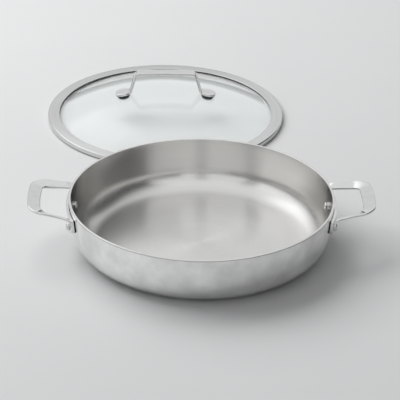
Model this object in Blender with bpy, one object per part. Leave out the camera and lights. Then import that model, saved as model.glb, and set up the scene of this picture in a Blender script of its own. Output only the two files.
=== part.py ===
"""Chefs pan of clad steel with two riveted loop handles, and its glass lid laid behind it.

Lengths are in metres. The origin is the middle of the pan's base, on the worktop. +Z is up,
+X points to the right handle and -Y to the front. The lid lies on the same worktop at +Y.
"""

import math

import bmesh
import bpy
from mathutils import Matrix, Vector

MM = 0.001

# Facets
TURN_STEPS = 56
SMALL_TURN_STEPS = 16
CORNER_STEPS = 5
DOME_STEPS = 6
BEND_STEPS = 3

# Gaps between pieces that touch on the real pan
SHEET_GAP = 0.3 * MM
LAYER_GAP = 0.2 * MM
BORE_GAP = 0.2 * MM
HEAD_GAP = 0.4 * MM

# Pan body, measured over its outer steel sheet
PAN_RIM_RADIUS = 155.0 * MM
PAN_HEIGHT = 63.5 * MM
WALL_LEAN = math.radians(5.0)
CORNER_RADIUS = 31.0 * MM
SKIN_THICKNESS = 0.6 * MM
CORE_THICKNESS = 1.0 * MM
LINER_THICKNESS = 0.5 * MM
RIM_LIP_HEIGHT = 1.0 * MM

# Mounting plate of a loop handle, bent to the wall
PLATE_THICKNESS = 3.5 * MM
PLATE_HALF_LENGTH = 49.0 * MM
PLATE_FOOT_HALF_LENGTH = 25.0 * MM
PLATE_DROP = 8.0 * MM
PLATE_HEIGHT = 27.5 * MM
PLATE_END_HEIGHT = 15.5 * MM
PLATE_TOP_RADIUS = 2.0 * MM
PLATE_END_RADIUS = 5.0 * MM
PLATE_FOOT_RADIUS = 14.0 * MM

# Loop of a handle, a strap that runs out from the plate's top and back again
LOOP_REACH = 47.9 * MM
LOOP_GRIP_WIDTH = 15.4 * MM
LOOP_LEG_WIDTH = 9.6 * MM
LOOP_THICKNESS = 3.2 * MM
LOOP_ROOT_THICKNESS = 2.6 * MM
LOOP_EDGE_RADIUS = 1.0 * MM
LOOP_GRIP_HALF_LENGTH = 35.2 * MM
LOOP_GRIP_BOW = 1.6 * MM
LOOP_GRIP_DROP = 1.7 * MM
LOOP_ROOT_DEPTH = 10.0 * MM
LOOP_BEND_RADIUS = 6.5 * MM
LOOP_CORNER_RADIUS = 16.0 * MM
LOOP_BOW_RADIUS = 150.0 * MM
LOOP_LEG_DISH = math.radians(34.0)
LOOP_GRIP_DISH = math.radians(16.0)
LOOP_ROOT_SHARE = 0.2
LOOP_STATION_SPACING = 6.0 * MM

# Rivets, two for each handle
RIVET_SPACING = 52.0 * MM
RIVET_DROP = 26.0 * MM
RIVET_SHANK_RADIUS = 2.6 * MM
RIVET_HEAD_RADIUS = 5.2 * MM
RIVET_HEAD_HEIGHT = 3.3 * MM
RIVET_INNER_HEAD_RADIUS = 4.5 * MM
RIVET_INNER_HEAD_HEIGHT = 1.6 * MM

# Lid edge: a steel band over the glass, and a ring under it that drops into the pan
LID_BAND_WIDTH = 15.0 * MM
LID_SHEET_THICKNESS = 0.8 * MM
LIP_CLEARANCE = 1.2 * MM
LIP_GROUND_GAP = 1.2 * MM
BAND_CORNER_RADIUS = 2.0 * MM
BAND_INNER_CHAMFER = 0.5 * MM
SKIRT_CLEARANCE = 0.8 * MM
RETAINER_FOLD_WIDTH = 6.0 * MM
GASKET_WALL = 0.6 * MM
GASKET_LEG = 0.5 * MM
GASKET_LIP_SETBACK = 0.8 * MM

# Lid glass
GLASS_THICKNESS = 3.6 * MM
GLASS_DOME_RISE = 30.5 * MM
GLASS_RIM_SETBACK = 1.0 * MM
GLASS_BORE_RADIUS = 5.2 * MM

# Lid handle: one strap with a round foot at each end
LID_FOOT_SPREAD = 56.0 * MM
LID_FOOT_RADIUS = 10.5 * MM
LID_STRAP_WIDTH = 14.0 * MM
LID_STRAP_THICKNESS = 3.0 * MM
LID_STRAP_EDGE_RADIUS = 0.8 * MM
LID_BAR_HALF_LENGTH = 39.0 * MM
LID_BAR_CLEARANCE = 25.5 * MM
LID_BAR_CROWN = 1.0 * MM
LID_BAR_BEND_RADIUS = 5.0 * MM
LID_CROWN_RADIUS = 90.0 * MM
LID_ANKLE_BEND_RADIUS = 3.5 * MM
LID_ANKLE_SETBACK = 10.0 * MM
LID_STATION_SPACING = 9.0 * MM

# Fastening under each foot of the lid handle, from the foot down
FOOT_SEAL_THICKNESS = 1.1 * MM
FOOT_SEAL_RADIUS = 9.8 * MM
BOSS_RADIUS = 3.2 * MM
LOWER_SEAL_THICKNESS = 1.2 * MM
LOWER_SEAL_RADIUS = 7.5 * MM
WASHER_THICKNESS = 1.0 * MM
WASHER_RADIUS = 7.0 * MM
SCREW_RADIUS = 2.0 * MM
SCREW_HEAD_RADIUS = 4.2 * MM
SCREW_HEAD_HEIGHT = 2.6 * MM
SCREW_SOCKET_RADIUS = 1.7 * MM
SCREW_SOCKET_DEPTH = 1.6 * MM
SCREW_SOCKET_SIDES = 6
SCREW_REACH = 8.0 * MM
TAP_ROOF = 1.2 * MM

# Where the lid lies on the worktop
LID_CENTRE = Vector((-40.0 * MM, 356.5 * MM, 0.0))

# Sizes worked out from those above
WALL_THICKNESS = SKIN_THICKNESS + SHEET_GAP + CORE_THICKNESS + SHEET_GAP + LINER_THICKNESS
SHEET_TOP = PAN_HEIGHT - RIM_LIP_HEIGHT - SHEET_GAP
RIVET_HEIGHT = PAN_HEIGHT - RIVET_DROP

RETAINER_FOLD_TOP = LID_SHEET_THICKNESS
GASKET_BOTTOM = RETAINER_FOLD_TOP + LAYER_GAP
GLASS_EDGE_BOTTOM = GASKET_BOTTOM + GASKET_LEG + LAYER_GAP
GLASS_EDGE_TOP = GLASS_EDGE_BOTTOM + GLASS_THICKNESS
GASKET_TOP = GLASS_EDGE_TOP + LAYER_GAP + GASKET_LEG
FLANGE_UNDERSIDE = GASKET_TOP + LAYER_GAP
FLANGE_TOP = FLANGE_UNDERSIDE + LID_SHEET_THICKNESS

LIP_INNER_RADIUS = PAN_RIM_RADIUS + LIP_CLEARANCE
LIP_OUTER_RADIUS = LIP_INNER_RADIUS + LID_SHEET_THICKNESS
BAND_INNER_RADIUS = LIP_OUTER_RADIUS - LID_BAND_WIDTH

FOOT_DISC_BOTTOM = SHEET_GAP + FOOT_SEAL_THICKNESS + SHEET_GAP
FOOT_DISC_MIDDLE = FOOT_DISC_BOTTOM + LID_STRAP_THICKNESS / 2
LOWER_SEAL_TOP = -(GLASS_THICKNESS + HEAD_GAP)
WASHER_TOP = LOWER_SEAL_TOP - LOWER_SEAL_THICKNESS - SHEET_GAP
SCREW_HEAD_TOP = WASHER_TOP - WASHER_THICKNESS - SHEET_GAP
BOSS_BOTTOM = WASHER_TOP + SHEET_GAP


# Materials, each as its colour, roughness, metallic value and transmission

BRUSHED_STEEL = ((0.62, 0.62, 0.61), 0.30, 1.0, 0.0)
SATIN_STEEL = ((0.60, 0.60, 0.58), 0.28, 1.0, 0.0)
POLISHED_STEEL = ((0.72, 0.72, 0.72), 0.10, 1.0, 0.0)
ALUMINIUM = ((0.75, 0.76, 0.77), 0.40, 1.0, 0.0)
SILICONE = ((0.05, 0.05, 0.05), 0.60, 0.0, 0.0)
GLASS = ((0.86, 0.90, 0.89), 0.05, 0.0, 1.0)


def dress(obj, finish):
    """Give an object its own material with one Principled shader."""
    colour, roughness, metallic, transmission = finish
    material = bpy.data.materials.new(obj.name)
    material.use_nodes = True
    inputs = material.node_tree.nodes["Principled BSDF"].inputs
    inputs["Base Color"].default_value = (*colour, 1.0)
    inputs["Roughness"].default_value = roughness
    inputs["Metallic"].default_value = metallic
    inputs["Transmission Weight"].default_value = transmission
    if not obj.data.materials:
        obj.data.materials.append(None)
    obj.material_slots[0].link = "OBJECT"
    obj.material_slots[0].material = material
    return obj


# Mesh helpers

def add_object(name, bm, frame=None):
    """Make an object of a finished mesh, placed by a frame, and return it."""
    bmesh.ops.recalc_face_normals(bm, faces=bm.faces)
    mesh = bpy.data.meshes.new(name)
    bm.to_mesh(mesh)
    bm.free()
    mesh.shade_smooth()
    mesh.set_sharp_from_angle(angle=math.radians(35.0))
    obj = bpy.data.objects.new(name, mesh)
    bpy.context.collection.objects.link(obj)
    if frame is not None:
        obj.matrix_world = frame
    return obj


def turned(name, section, frame=None, steps=TURN_STEPS):
    """Turn a section of (radius, height) points about the local Z axis into one closed body.

    A section that starts on the axis ends on it too. Any other section is a closed ring.
    """
    bm = bmesh.new()
    verts = [bm.verts.new((radius, 0.0, height)) for radius, height in section]
    edges = [bm.edges.new(pair) for pair in zip(verts, verts[1:])]
    if section[0][0] > 0.0:
        edges.append(bm.edges.new((verts[-1], verts[0])))
    bmesh.ops.spin(
        bm, geom=verts + edges, axis=(0.0, 0.0, 1.0), angle=2.0 * math.pi, steps=steps, use_merge=True
    )
    bmesh.ops.remove_doubles(bm, verts=bm.verts, dist=1e-6)
    return add_object(name, bm, frame)


def arc(centre, radius, start, end, steps=BEND_STEPS):
    """Return points of an arc in the section plane, angles in radians from the +radius side."""
    angles = [start + (end - start) * step / steps for step in range(steps + 1)]
    return [(centre[0] + radius * math.cos(a), centre[1] + radius * math.sin(a)) for a in angles]


def disc_section(radius, bottom, top, bore=0.0):
    """Return the section of a flat disc, or of a washer if it has a bore."""
    if bore > 0.0:
        return [(bore, bottom), (radius, bottom), (radius, top), (bore, top)]
    return [(0.0, bottom), (radius, bottom), (radius, top), (0.0, top)]


def rounded_outline(width, thickness, edge_radius):
    """Return a strap's cross-section as (side, up) points, with its edges rounded."""
    half_width = width / 2 - edge_radius
    half_thickness = thickness / 2 - edge_radius
    outline = []
    for corner, (side, up) in enumerate(((1, 1), (-1, 1), (-1, -1), (1, -1))):
        centre = (side * half_width, up * half_thickness)
        start = corner * math.pi / 2
        outline += arc(centre, edge_radius, start, start + math.pi / 2, 2)
    return outline


def swept(name, stations, edge_radius):
    """Loft a strap through stations of (centre, side, up, width, thickness)."""
    bm = bmesh.new()
    rings = []
    for centre, side, up, width, thickness in stations:
        outline = rounded_outline(width, thickness, edge_radius)
        rings.append([bm.verts.new(centre + side * a + up * b) for a, b in outline])
    for ring, following in zip(rings, rings[1:]):
        count = len(ring)
        for k in range(count):
            bm.faces.new((ring[k], ring[(k + 1) % count], following[(k + 1) % count], following[k]))
    bm.faces.new(rings[0])
    bm.faces.new(rings[-1])
    return add_object(name, bm)


def filleted(corners, radii, spacing):
    """Return points along straight runs through the corners, each corner rounded by its radius."""
    points = [corners[0]]
    for before, corner, after, radius in zip(corners, corners[1:], corners[2:], radii):
        into = (corner - before).normalized()
        out = (after - corner).normalized()
        turn = into.angle(out)
        setback = radius * math.tan(turn / 2)
        start = corner - into * setback
        centre = start + (out - into * into.dot(out)).normalized() * radius
        add_run(points, start, spacing)
        steps = max(2, round(turn / math.radians(18.0)))
        axis = into.cross(out).normalized()
        arm = start - centre
        for step in range(1, steps + 1):
            points.append(centre + Matrix.Rotation(turn * step / steps, 3, axis) @ arm)
    add_run(points, corners[-1], spacing)
    return points


def add_run(points, end, spacing):
    """Append evenly spaced points from the last point of the list to the end of a straight run."""
    start = points[-1]
    count = max(1, round((end - start).length / spacing))
    for step in range(1, count + 1):
        points.append(start.lerp(end, step / count))


def tangents(points):
    """Return the direction of travel at each point of a path."""
    ends = zip([points[0], *points[:-1]], [*points[1:], points[-1]])
    return [(after - before).normalized() for before, after in ends]


def smooth_step(value):
    """Ease from 0 to 1 as the value goes from 0 to 1."""
    clamped = min(max(value, 0.0), 1.0)
    return clamped * clamped * (3.0 - 2.0 * clamped)


def carve(target, tool, operation):
    """Apply a Boolean with the tool to the target's mesh, and remove the tool."""
    modifier = target.modifiers.new(operation.lower(), "BOOLEAN")
    modifier.operation = operation
    modifier.solver = "EXACT"
    modifier.object = tool
    graph = bpy.context.evaluated_depsgraph_get()
    carved = bpy.data.meshes.new_from_object(target.evaluated_get(graph))
    target.modifiers.remove(modifier)
    target.data = carved
    bpy.data.objects.remove(tool)


# Pan body

def wall_radius(height):
    """Return the radius of the pan's outer surface at a height on its straight wall."""
    return PAN_RIM_RADIUS - (PAN_HEIGHT - height) * math.tan(WALL_LEAN)


def pan_surface(offset, top):
    """Return the surface that lies inside the pan's outer surface by an offset, axis to top."""
    straight = (PAN_HEIGHT - CORNER_RADIUS) * math.sin(WALL_LEAN)
    knuckle = PAN_RIM_RADIUS - (straight + CORNER_RADIUS) / math.cos(WALL_LEAN)
    centre = (knuckle, CORNER_RADIUS)
    corner = arc(centre, CORNER_RADIUS - offset, -math.pi / 2, -WALL_LEAN, CORNER_STEPS)
    return [(0.0, offset), *corner, (wall_radius(top) - offset / math.cos(WALL_LEAN), top)]


def sheet_section(outer_offset, inner_offset, top):
    """Return the section of one sheet of the pan between two offsets."""
    return pan_surface(outer_offset, top) + pan_surface(inner_offset, top)[::-1]


def liner_section():
    """Return the inner sheet's section, with the lip that closes the rim over the other sheets."""
    outer = pan_surface(WALL_THICKNESS - LINER_THICKNESS, PAN_HEIGHT - RIM_LIP_HEIGHT)
    inner = pan_surface(WALL_THICKNESS, PAN_HEIGHT)[::-1]
    edge = RIM_LIP_HEIGHT / 4
    lip_bottom = PAN_HEIGHT - RIM_LIP_HEIGHT
    lip = [
        (wall_radius(lip_bottom), lip_bottom),
        (wall_radius(PAN_HEIGHT - edge), PAN_HEIGHT - edge),
        (PAN_RIM_RADIUS - edge, PAN_HEIGHT),
    ]
    return outer + lip + inner


def rivet_frame(side, end):
    """Return the frame of one rivet: origin on the pan's outer surface, Z out of the wall.

    side is 1 on the right and -1 on the left, and end is 1 at the back and -1 at the front.
    """
    radius = wall_radius(RIVET_HEIGHT)
    turn = math.asin(RIVET_SPACING / 2 / radius) * end * side
    if side < 0:
        turn += math.pi
    place = Matrix.Rotation(turn, 4, "Z") @ Matrix.Translation((radius, 0.0, RIVET_HEIGHT))
    return place @ Matrix.Rotation(math.pi / 2 + WALL_LEAN, 4, "Y")


def rivet_bores(side):
    """Return a tool with the two bores of one handle's rivets."""
    bm = bmesh.new()
    length = 2 * (WALL_THICKNESS + PLATE_THICKNESS + SHEET_GAP)
    for end in (1, -1):
        bmesh.ops.create_cone(
            bm, cap_ends=True, segments=SMALL_TURN_STEPS, radius1=RIVET_SHANK_RADIUS + BORE_GAP,
            radius2=RIVET_SHANK_RADIUS + BORE_GAP, depth=2 * length, matrix=rivet_frame(side, end),
        )
    return add_object("rivet_bores", bm)


def build_pan():
    """Build the three bonded sheets of the pan, with the bores for the rivets."""
    core_outer = SKIN_THICKNESS + SHEET_GAP
    core_inner = core_outer + CORE_THICKNESS
    skin = turned("steel_skin", sheet_section(0.0, SKIN_THICKNESS, SHEET_TOP))
    core = turned("aluminium_core", sheet_section(core_outer, core_inner, SHEET_TOP))
    liner = turned("steel_liner", liner_section())
    for sheet, finish in ((skin, BRUSHED_STEEL), (core, ALUMINIUM), (liner, SATIN_STEEL)):
        for side in (1, -1):
            carve(sheet, rivet_bores(side), "DIFFERENCE")
        dress(sheet, finish)


# Loop handles

def plate_object():
    """Return the right handle's mounting plate: a slice of the wall's shape, cut to its outline."""
    top = PAN_HEIGHT
    bottom = top - PLATE_DROP - PLATE_HEIGHT - PLATE_THICKNESS
    inner = SHEET_GAP / math.cos(WALL_LEAN)
    outer = (SHEET_GAP + PLATE_THICKNESS) / math.cos(WALL_LEAN)
    section = [
        (wall_radius(bottom) + inner, bottom),
        (wall_radius(bottom) + outer, bottom),
        (wall_radius(top) + outer, top),
        (wall_radius(top) + inner, top),
    ]
    plate = turned("plate", section)
    carve(plate, plate_outline(), "INTERSECT")
    return plate


def plate_outline():
    """Return a tool with the plate's outline, extruded along +X through the right wall."""
    top = PAN_HEIGHT - PLATE_DROP
    end = top - PLATE_END_HEIGHT
    foot = top - PLATE_HEIGHT
    near = PAN_RIM_RADIUS / 2
    back = [(PLATE_HALF_LENGTH, top), (PLATE_HALF_LENGTH, end), (PLATE_FOOT_HALF_LENGTH, foot)]
    front = [(-across, height) for across, height in back[::-1]]
    corners = [Vector((near, across, height)) for across, height in [(0.0, top), *back, *front, (0.0, top)]]
    back_radii = (PLATE_TOP_RADIUS, PLATE_END_RADIUS, PLATE_FOOT_RADIUS)
    outline = filleted(corners, back_radii + back_radii[::-1], PAN_RIM_RADIUS)
    bm = bmesh.new()
    face = bm.faces.new([bm.verts.new(point) for point in outline[:-1]])
    extruded = bmesh.ops.extrude_face_region(bm, geom=[face])
    moved = [item for item in extruded["geom"] if isinstance(item, bmesh.types.BMVert)]
    bmesh.ops.translate(bm, verts=moved, vec=(PAN_RIM_RADIUS, 0.0, 0.0))
    return add_object("plate_outline", bm)


def wall_clearance():
    """Return a tool that holds the pan's outer shape with the gap that the plate keeps to it."""
    top = PAN_HEIGHT + LOOP_GRIP_WIDTH
    slant = SHEET_GAP / math.cos(WALL_LEAN)
    section = [
        (0.0, 0.0),
        (wall_radius(0.0) + slant, 0.0),
        (wall_radius(top) + slant, top),
        (0.0, top),
    ]
    return turned("wall_clearance", section)


def loop_corners():
    """Return the corners of the back half of the loop's path, from inside the plate outwards.

    They are the path's start in the plate, the bend at the plate's top, the grip's back corner,
    and the middle of the grip.
    """
    top = PAN_HEIGHT - PLATE_DROP
    radius = wall_radius(top) + SHEET_GAP + PLATE_THICKNESS / 2
    across = PLATE_HALF_LENGTH - LOOP_LEG_WIDTH / 2
    bend = Vector((math.sqrt(radius**2 - across**2), across, top - LOOP_THICKNESS / 2))
    inward = Vector((-bend.x, -across, 0.0)).normalized()
    start = bend + (inward * math.tan(WALL_LEAN) - Vector((0.0, 0.0, 1.0))) * LOOP_ROOT_DEPTH
    grip = PAN_RIM_RADIUS + LOOP_REACH - LOOP_GRIP_WIDTH / 2
    grip_height = PAN_HEIGHT - LOOP_GRIP_DROP
    corner = Vector((grip - LOOP_GRIP_BOW, LOOP_GRIP_HALF_LENGTH, grip_height))
    return start, bend, corner, Vector((grip, 0.0, grip_height))


def half_loop():
    """Return the loop's stations from its back root to the middle of the grip."""
    start, bend, corner, middle = loop_corners()
    radii = (LOOP_BEND_RADIUS, LOOP_CORNER_RADIUS, LOOP_BOW_RADIUS)
    path = filleted([start, bend, corner, middle, mirrored(corner)], radii, LOOP_STATION_SPACING)
    half = [point for point in path if point.y > LOOP_STATION_SPACING / 4]
    half.append(Vector((max(point.x for point in path), 0.0, middle.z)))
    headings = [*tangents(half)[:-1], Vector((0.0, -1.0, 0.0))]
    wall_bearing = math.atan2(bend.y, bend.x)
    leg_bearing = math.atan2(corner.y - bend.y, corner.x - bend.x)
    stations = []
    for point, heading in zip(half, headings):
        out = (point.x - bend.x) / (middle.x - bend.x)
        if out < LOOP_ROOT_SHARE:
            untwist = smooth_step(out / LOOP_ROOT_SHARE)
            bearing = wall_bearing + (leg_bearing - wall_bearing) * untwist
        else:
            bearing = math.atan2(heading.y, heading.x)
        level = Vector((-math.sin(bearing), math.cos(bearing), 0.0))
        side = (level - heading * level.dot(heading)).normalized()
        up = side.cross(heading)
        thicken = smooth_step(out / LOOP_ROOT_SHARE)
        widen = smooth_step((out - LOOP_ROOT_SHARE) / (1.0 - LOOP_ROOT_SHARE))
        dish_angle = LOOP_LEG_DISH * thicken + (LOOP_GRIP_DISH - LOOP_LEG_DISH) * widen
        dish = Matrix.Rotation(dish_angle, 3, heading)
        width = LOOP_LEG_WIDTH + (LOOP_GRIP_WIDTH - LOOP_LEG_WIDTH) * widen
        thickness = LOOP_ROOT_THICKNESS + (LOOP_THICKNESS - LOOP_ROOT_THICKNESS) * thicken
        stations.append((point, dish @ side, dish @ up, width, thickness))
    return stations


def mirrored(vector):
    """Return a vector's reflection in the plane between the two legs of a loop."""
    return Vector((vector.x, -vector.y, vector.z))


def loop_object():
    """Return the whole loop as one swept strap."""
    back = half_loop()
    front = [(mirrored(c), mirrored(s), mirrored(u), w, t) for c, s, u, w, t in back[-2::-1]]
    return swept("right_handle", back + front, LOOP_EDGE_RADIUS)


def build_handles():
    """Build both loop handles from one mesh, and their rivets."""
    right = loop_object()
    carve(right, plate_object(), "UNION")
    carve(right, wall_clearance(), "DIFFERENCE")
    carve(right, rivet_bores(1), "DIFFERENCE")
    left = bpy.data.objects.new("left_handle", right.data)
    left.rotation_euler.z = math.pi
    bpy.context.collection.objects.link(left)
    dress(right, POLISHED_STEEL)
    dress(left, POLISHED_STEEL)
    for side, side_name in ((1, "right"), (-1, "left")):
        for end, end_name in ((1, "back"), (-1, "front")):
            name = f"rivet_{side_name}_{end_name}"
            rivet = turned(name, rivet_section(), rivet_frame(side, end), SMALL_TURN_STEPS)
            dress(rivet, POLISHED_STEEL)


def dome_arc(radius, height, base, direction):
    """Return a head's crown from its edge to the axis, rising from its base in one direction."""
    angles = [math.pi / 2 * step / BEND_STEPS for step in range(BEND_STEPS + 1)]
    crown = [(radius * math.cos(a), base + direction * height * math.sin(a)) for a in angles]
    crown[-1] = (0.0, base + direction * height)
    return crown


def rivet_section():
    """Return a rivet's section: a crowned head outside the plate and another inside the pan."""
    outer_base = SHEET_GAP + PLATE_THICKNESS + HEAD_GAP
    inner_base = -(WALL_THICKNESS + HEAD_GAP)
    outer = dome_arc(RIVET_HEAD_RADIUS, RIVET_HEAD_HEIGHT, outer_base, 1)[::-1]
    inner = dome_arc(RIVET_INNER_HEAD_RADIUS, RIVET_INNER_HEAD_HEIGHT, inner_base, -1)
    shank = [(RIVET_SHANK_RADIUS, outer_base), (RIVET_SHANK_RADIUS, inner_base)]
    return outer + shank + inner


# Lid edge

def skirt_radius():
    """Return the outer radius of the ring that drops into the pan's rim."""
    depth = PAN_HEIGHT - FLANGE_UNDERSIDE
    rim_opening = wall_radius(depth) - WALL_THICKNESS / math.cos(WALL_LEAN)
    return rim_opening - SKIRT_CLEARANCE


def glass_radius():
    """Return the outer radius of the lid's glass."""
    return skirt_radius() - LID_SHEET_THICKNESS - LAYER_GAP - GASKET_WALL - LAYER_GAP


def band_section():
    """Return the steel band's section: a flat flange with its outer edge turned down."""
    centre = (LIP_OUTER_RADIUS - BAND_CORNER_RADIUS, FLANGE_TOP - BAND_CORNER_RADIUS)
    inner_bend = BAND_CORNER_RADIUS - LID_SHEET_THICKNESS
    return [
        (BAND_INNER_RADIUS, FLANGE_UNDERSIDE),
        (BAND_INNER_RADIUS, FLANGE_TOP - BAND_INNER_CHAMFER),
        (BAND_INNER_RADIUS + BAND_INNER_CHAMFER, FLANGE_TOP),
        *arc(centre, BAND_CORNER_RADIUS, math.pi / 2, 0.0),
        (LIP_OUTER_RADIUS, LIP_GROUND_GAP),
        (LIP_INNER_RADIUS, LIP_GROUND_GAP),
        *arc(centre, inner_bend, 0.0, math.pi / 2),
    ]


def retainer_section():
    """Return the ring's section: a skirt with its lower edge folded in under the glass."""
    outer = skirt_radius()
    sheet = LID_SHEET_THICKNESS
    fold_edge = outer - sheet - RETAINER_FOLD_WIDTH
    return [
        (fold_edge, 0.0),
        *arc((outer - sheet, sheet), sheet, -math.pi / 2, 0.0),
        (outer, GASKET_TOP),
        (outer - sheet, GASKET_TOP),
        (outer - sheet, sheet),
        (fold_edge, sheet),
    ]


def gasket_section():
    """Return the silicone channel's section round the edge of the glass."""
    channel = glass_radius() + LAYER_GAP
    outer = channel + GASKET_WALL
    edge = BAND_INNER_RADIUS + GASKET_LIP_SETBACK
    return [
        (edge, GASKET_TOP),
        (outer, GASKET_TOP),
        (outer, GASKET_BOTTOM),
        (edge, GASKET_BOTTOM),
        (edge, GASKET_BOTTOM + GASKET_LEG),
        (channel, GASKET_BOTTOM + GASKET_LEG),
        (channel, GASKET_TOP - GASKET_LEG),
        (edge, GASKET_TOP - GASKET_LEG),
    ]


def dome_radius():
    """Return the radius of the sphere that the glass's upper face follows."""
    rim = BAND_INNER_RADIUS - GLASS_RIM_SETBACK
    return (rim**2 + GLASS_DOME_RISE**2) / (2 * GLASS_DOME_RISE)


def dome_centre_height():
    """Return the height of that sphere's centre, below the worktop."""
    return GLASS_EDGE_TOP + GLASS_DOME_RISE - dome_radius()


def glass_section():
    """Return the glass's section: a dome of even thickness with a flat rim."""
    centre = (0.0, dome_centre_height())
    outer_radius = dome_radius()
    inner_radius = outer_radius - GLASS_THICKNESS
    outer_end = math.asin((GLASS_EDGE_TOP - centre[1]) / outer_radius)
    inner_end = math.asin((GLASS_EDGE_BOTTOM - centre[1]) / inner_radius)
    upper = arc(centre, outer_radius, math.pi / 2, outer_end, DOME_STEPS)
    lower = arc(centre, inner_radius, inner_end, math.pi / 2, DOME_STEPS)
    upper[0] = (0.0, upper[0][1])
    lower[-1] = (0.0, lower[-1][1])
    edge = glass_radius()
    return upper + [(edge, GLASS_EDGE_TOP), (edge, GLASS_EDGE_BOTTOM)] + lower


def foot_frame(side):
    """Return the frame of one foot on the lid: origin on the glass's upper face, Z out of the dome."""
    lean = math.asin(LID_FOOT_SPREAD / dome_radius())
    height = dome_centre_height() + dome_radius() * math.cos(lean)
    place = Matrix.Translation((side * LID_FOOT_SPREAD, 0.0, height))
    return place @ Matrix.Rotation(side * lean, 4, "Y")


def build_lid_edge():
    """Build the glass with its two bores, and the steel and silicone round its edge."""
    glass = turned("lid_glass", glass_section())
    for side in (1, -1):
        bore = disc_section(GLASS_BORE_RADIUS, -3 * GLASS_THICKNESS, 3 * GLASS_THICKNESS)
        carve(glass, turned("bore", bore, foot_frame(side), SMALL_TURN_STEPS), "DIFFERENCE")
    return [
        dress(glass, GLASS),
        dress(turned("lid_band", band_section()), BRUSHED_STEEL),
        dress(turned("band_retainer", retainer_section()), SATIN_STEEL),
        dress(turned("band_gasket", gasket_section()), SILICONE),
    ]


# Lid handle and what fastens it

def lid_strap_stations():
    """Return the lid handle's stations, from the left foot's outer end to the right one's."""
    bar_height = GLASS_EDGE_TOP + GLASS_DOME_RISE + LID_BAR_CLEARANCE + LID_STRAP_THICKNESS / 2
    frame = foot_frame(1)
    foot = frame @ Vector((0.0, 0.0, FOOT_DISC_MIDDLE))
    inward = frame.to_3x3() @ Vector((-1.0, 0.0, 0.0))
    tip = foot - inward * LID_FOOT_RADIUS
    ankle = foot + inward * LID_ANKLE_SETBACK
    shoulder = Vector((LID_BAR_HALF_LENGTH, 0.0, bar_height))
    crown = Vector((0.0, 0.0, bar_height + LID_BAR_CROWN))
    left = [Vector((-point.x, 0.0, point.z)) for point in (tip, ankle, shoulder)]
    corners = [*left, crown, shoulder, ankle, tip]
    bend, ankle_bend = LID_BAR_BEND_RADIUS, LID_ANKLE_BEND_RADIUS
    radii = (ankle_bend, bend, LID_CROWN_RADIUS, bend, ankle_bend)
    path = filleted(corners, radii, LID_STATION_SPACING)
    path = [point for point in path if abs(point.x) < foot.x - LID_ANKLE_SETBACK / 2]
    path = foot_points(foot, inward, -1) + path + foot_points(foot, inward, 1)[::-1]
    stations = []
    across = Vector((0.0, 1.0, 0.0))
    for point, heading in zip(path, tangents(path)):
        out = (foot - Vector((abs(point.x), 0.0, point.z))).dot(inward)
        reach = abs(out) / LID_FOOT_RADIUS
        round_width = 2 * LID_FOOT_RADIUS * math.sqrt(max(0.0, 1.0 - reach**2))
        width = round_width if out > 0.0 else max(round_width, LID_STRAP_WIDTH)
        up = heading.cross(across)
        stations.append((point, across, up, width, LID_STRAP_THICKNESS))
    return stations


def foot_points(foot, inward, side):
    """Return points across a round foot, from its outer tip to its ankle side."""
    steps = 7
    points = []
    for step in range(1, steps):
        along = -math.cos(math.pi * 0.78 * step / (steps - 1)) * LID_FOOT_RADIUS
        point = foot + inward * along
        points.append(Vector((side * point.x, 0.0, point.z)))
    return points


def build_lid_handle():
    """Build the strap handle with a tapped boss under each foot."""
    handle = swept("lid_handle", lid_strap_stations(), LID_STRAP_EDGE_RADIUS)
    tap_top = FOOT_DISC_BOTTOM + LID_STRAP_THICKNESS - TAP_ROOF
    for side in (1, -1):
        frame = foot_frame(side)
        boss = disc_section(BOSS_RADIUS, BOSS_BOTTOM, FOOT_DISC_MIDDLE)
        carve(handle, turned("boss", boss, frame, SMALL_TURN_STEPS), "UNION")
        tap = disc_section(SCREW_RADIUS + BORE_GAP, 2 * BOSS_BOTTOM, tap_top)
        carve(handle, turned("tap", tap, frame, SMALL_TURN_STEPS), "DIFFERENCE")
    return dress(handle, POLISHED_STEEL)


def screw_section():
    """Return a screw's section: its shank up into the boss and its crowned head below."""
    shank_top = min(SCREW_HEAD_TOP + SCREW_REACH, FOOT_DISC_BOTTOM)
    head = dome_arc(SCREW_HEAD_RADIUS, SCREW_HEAD_HEIGHT, SCREW_HEAD_TOP, -1)
    return [(0.0, shank_top), (SCREW_RADIUS, shank_top), (SCREW_RADIUS, SCREW_HEAD_TOP), *head]


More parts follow.
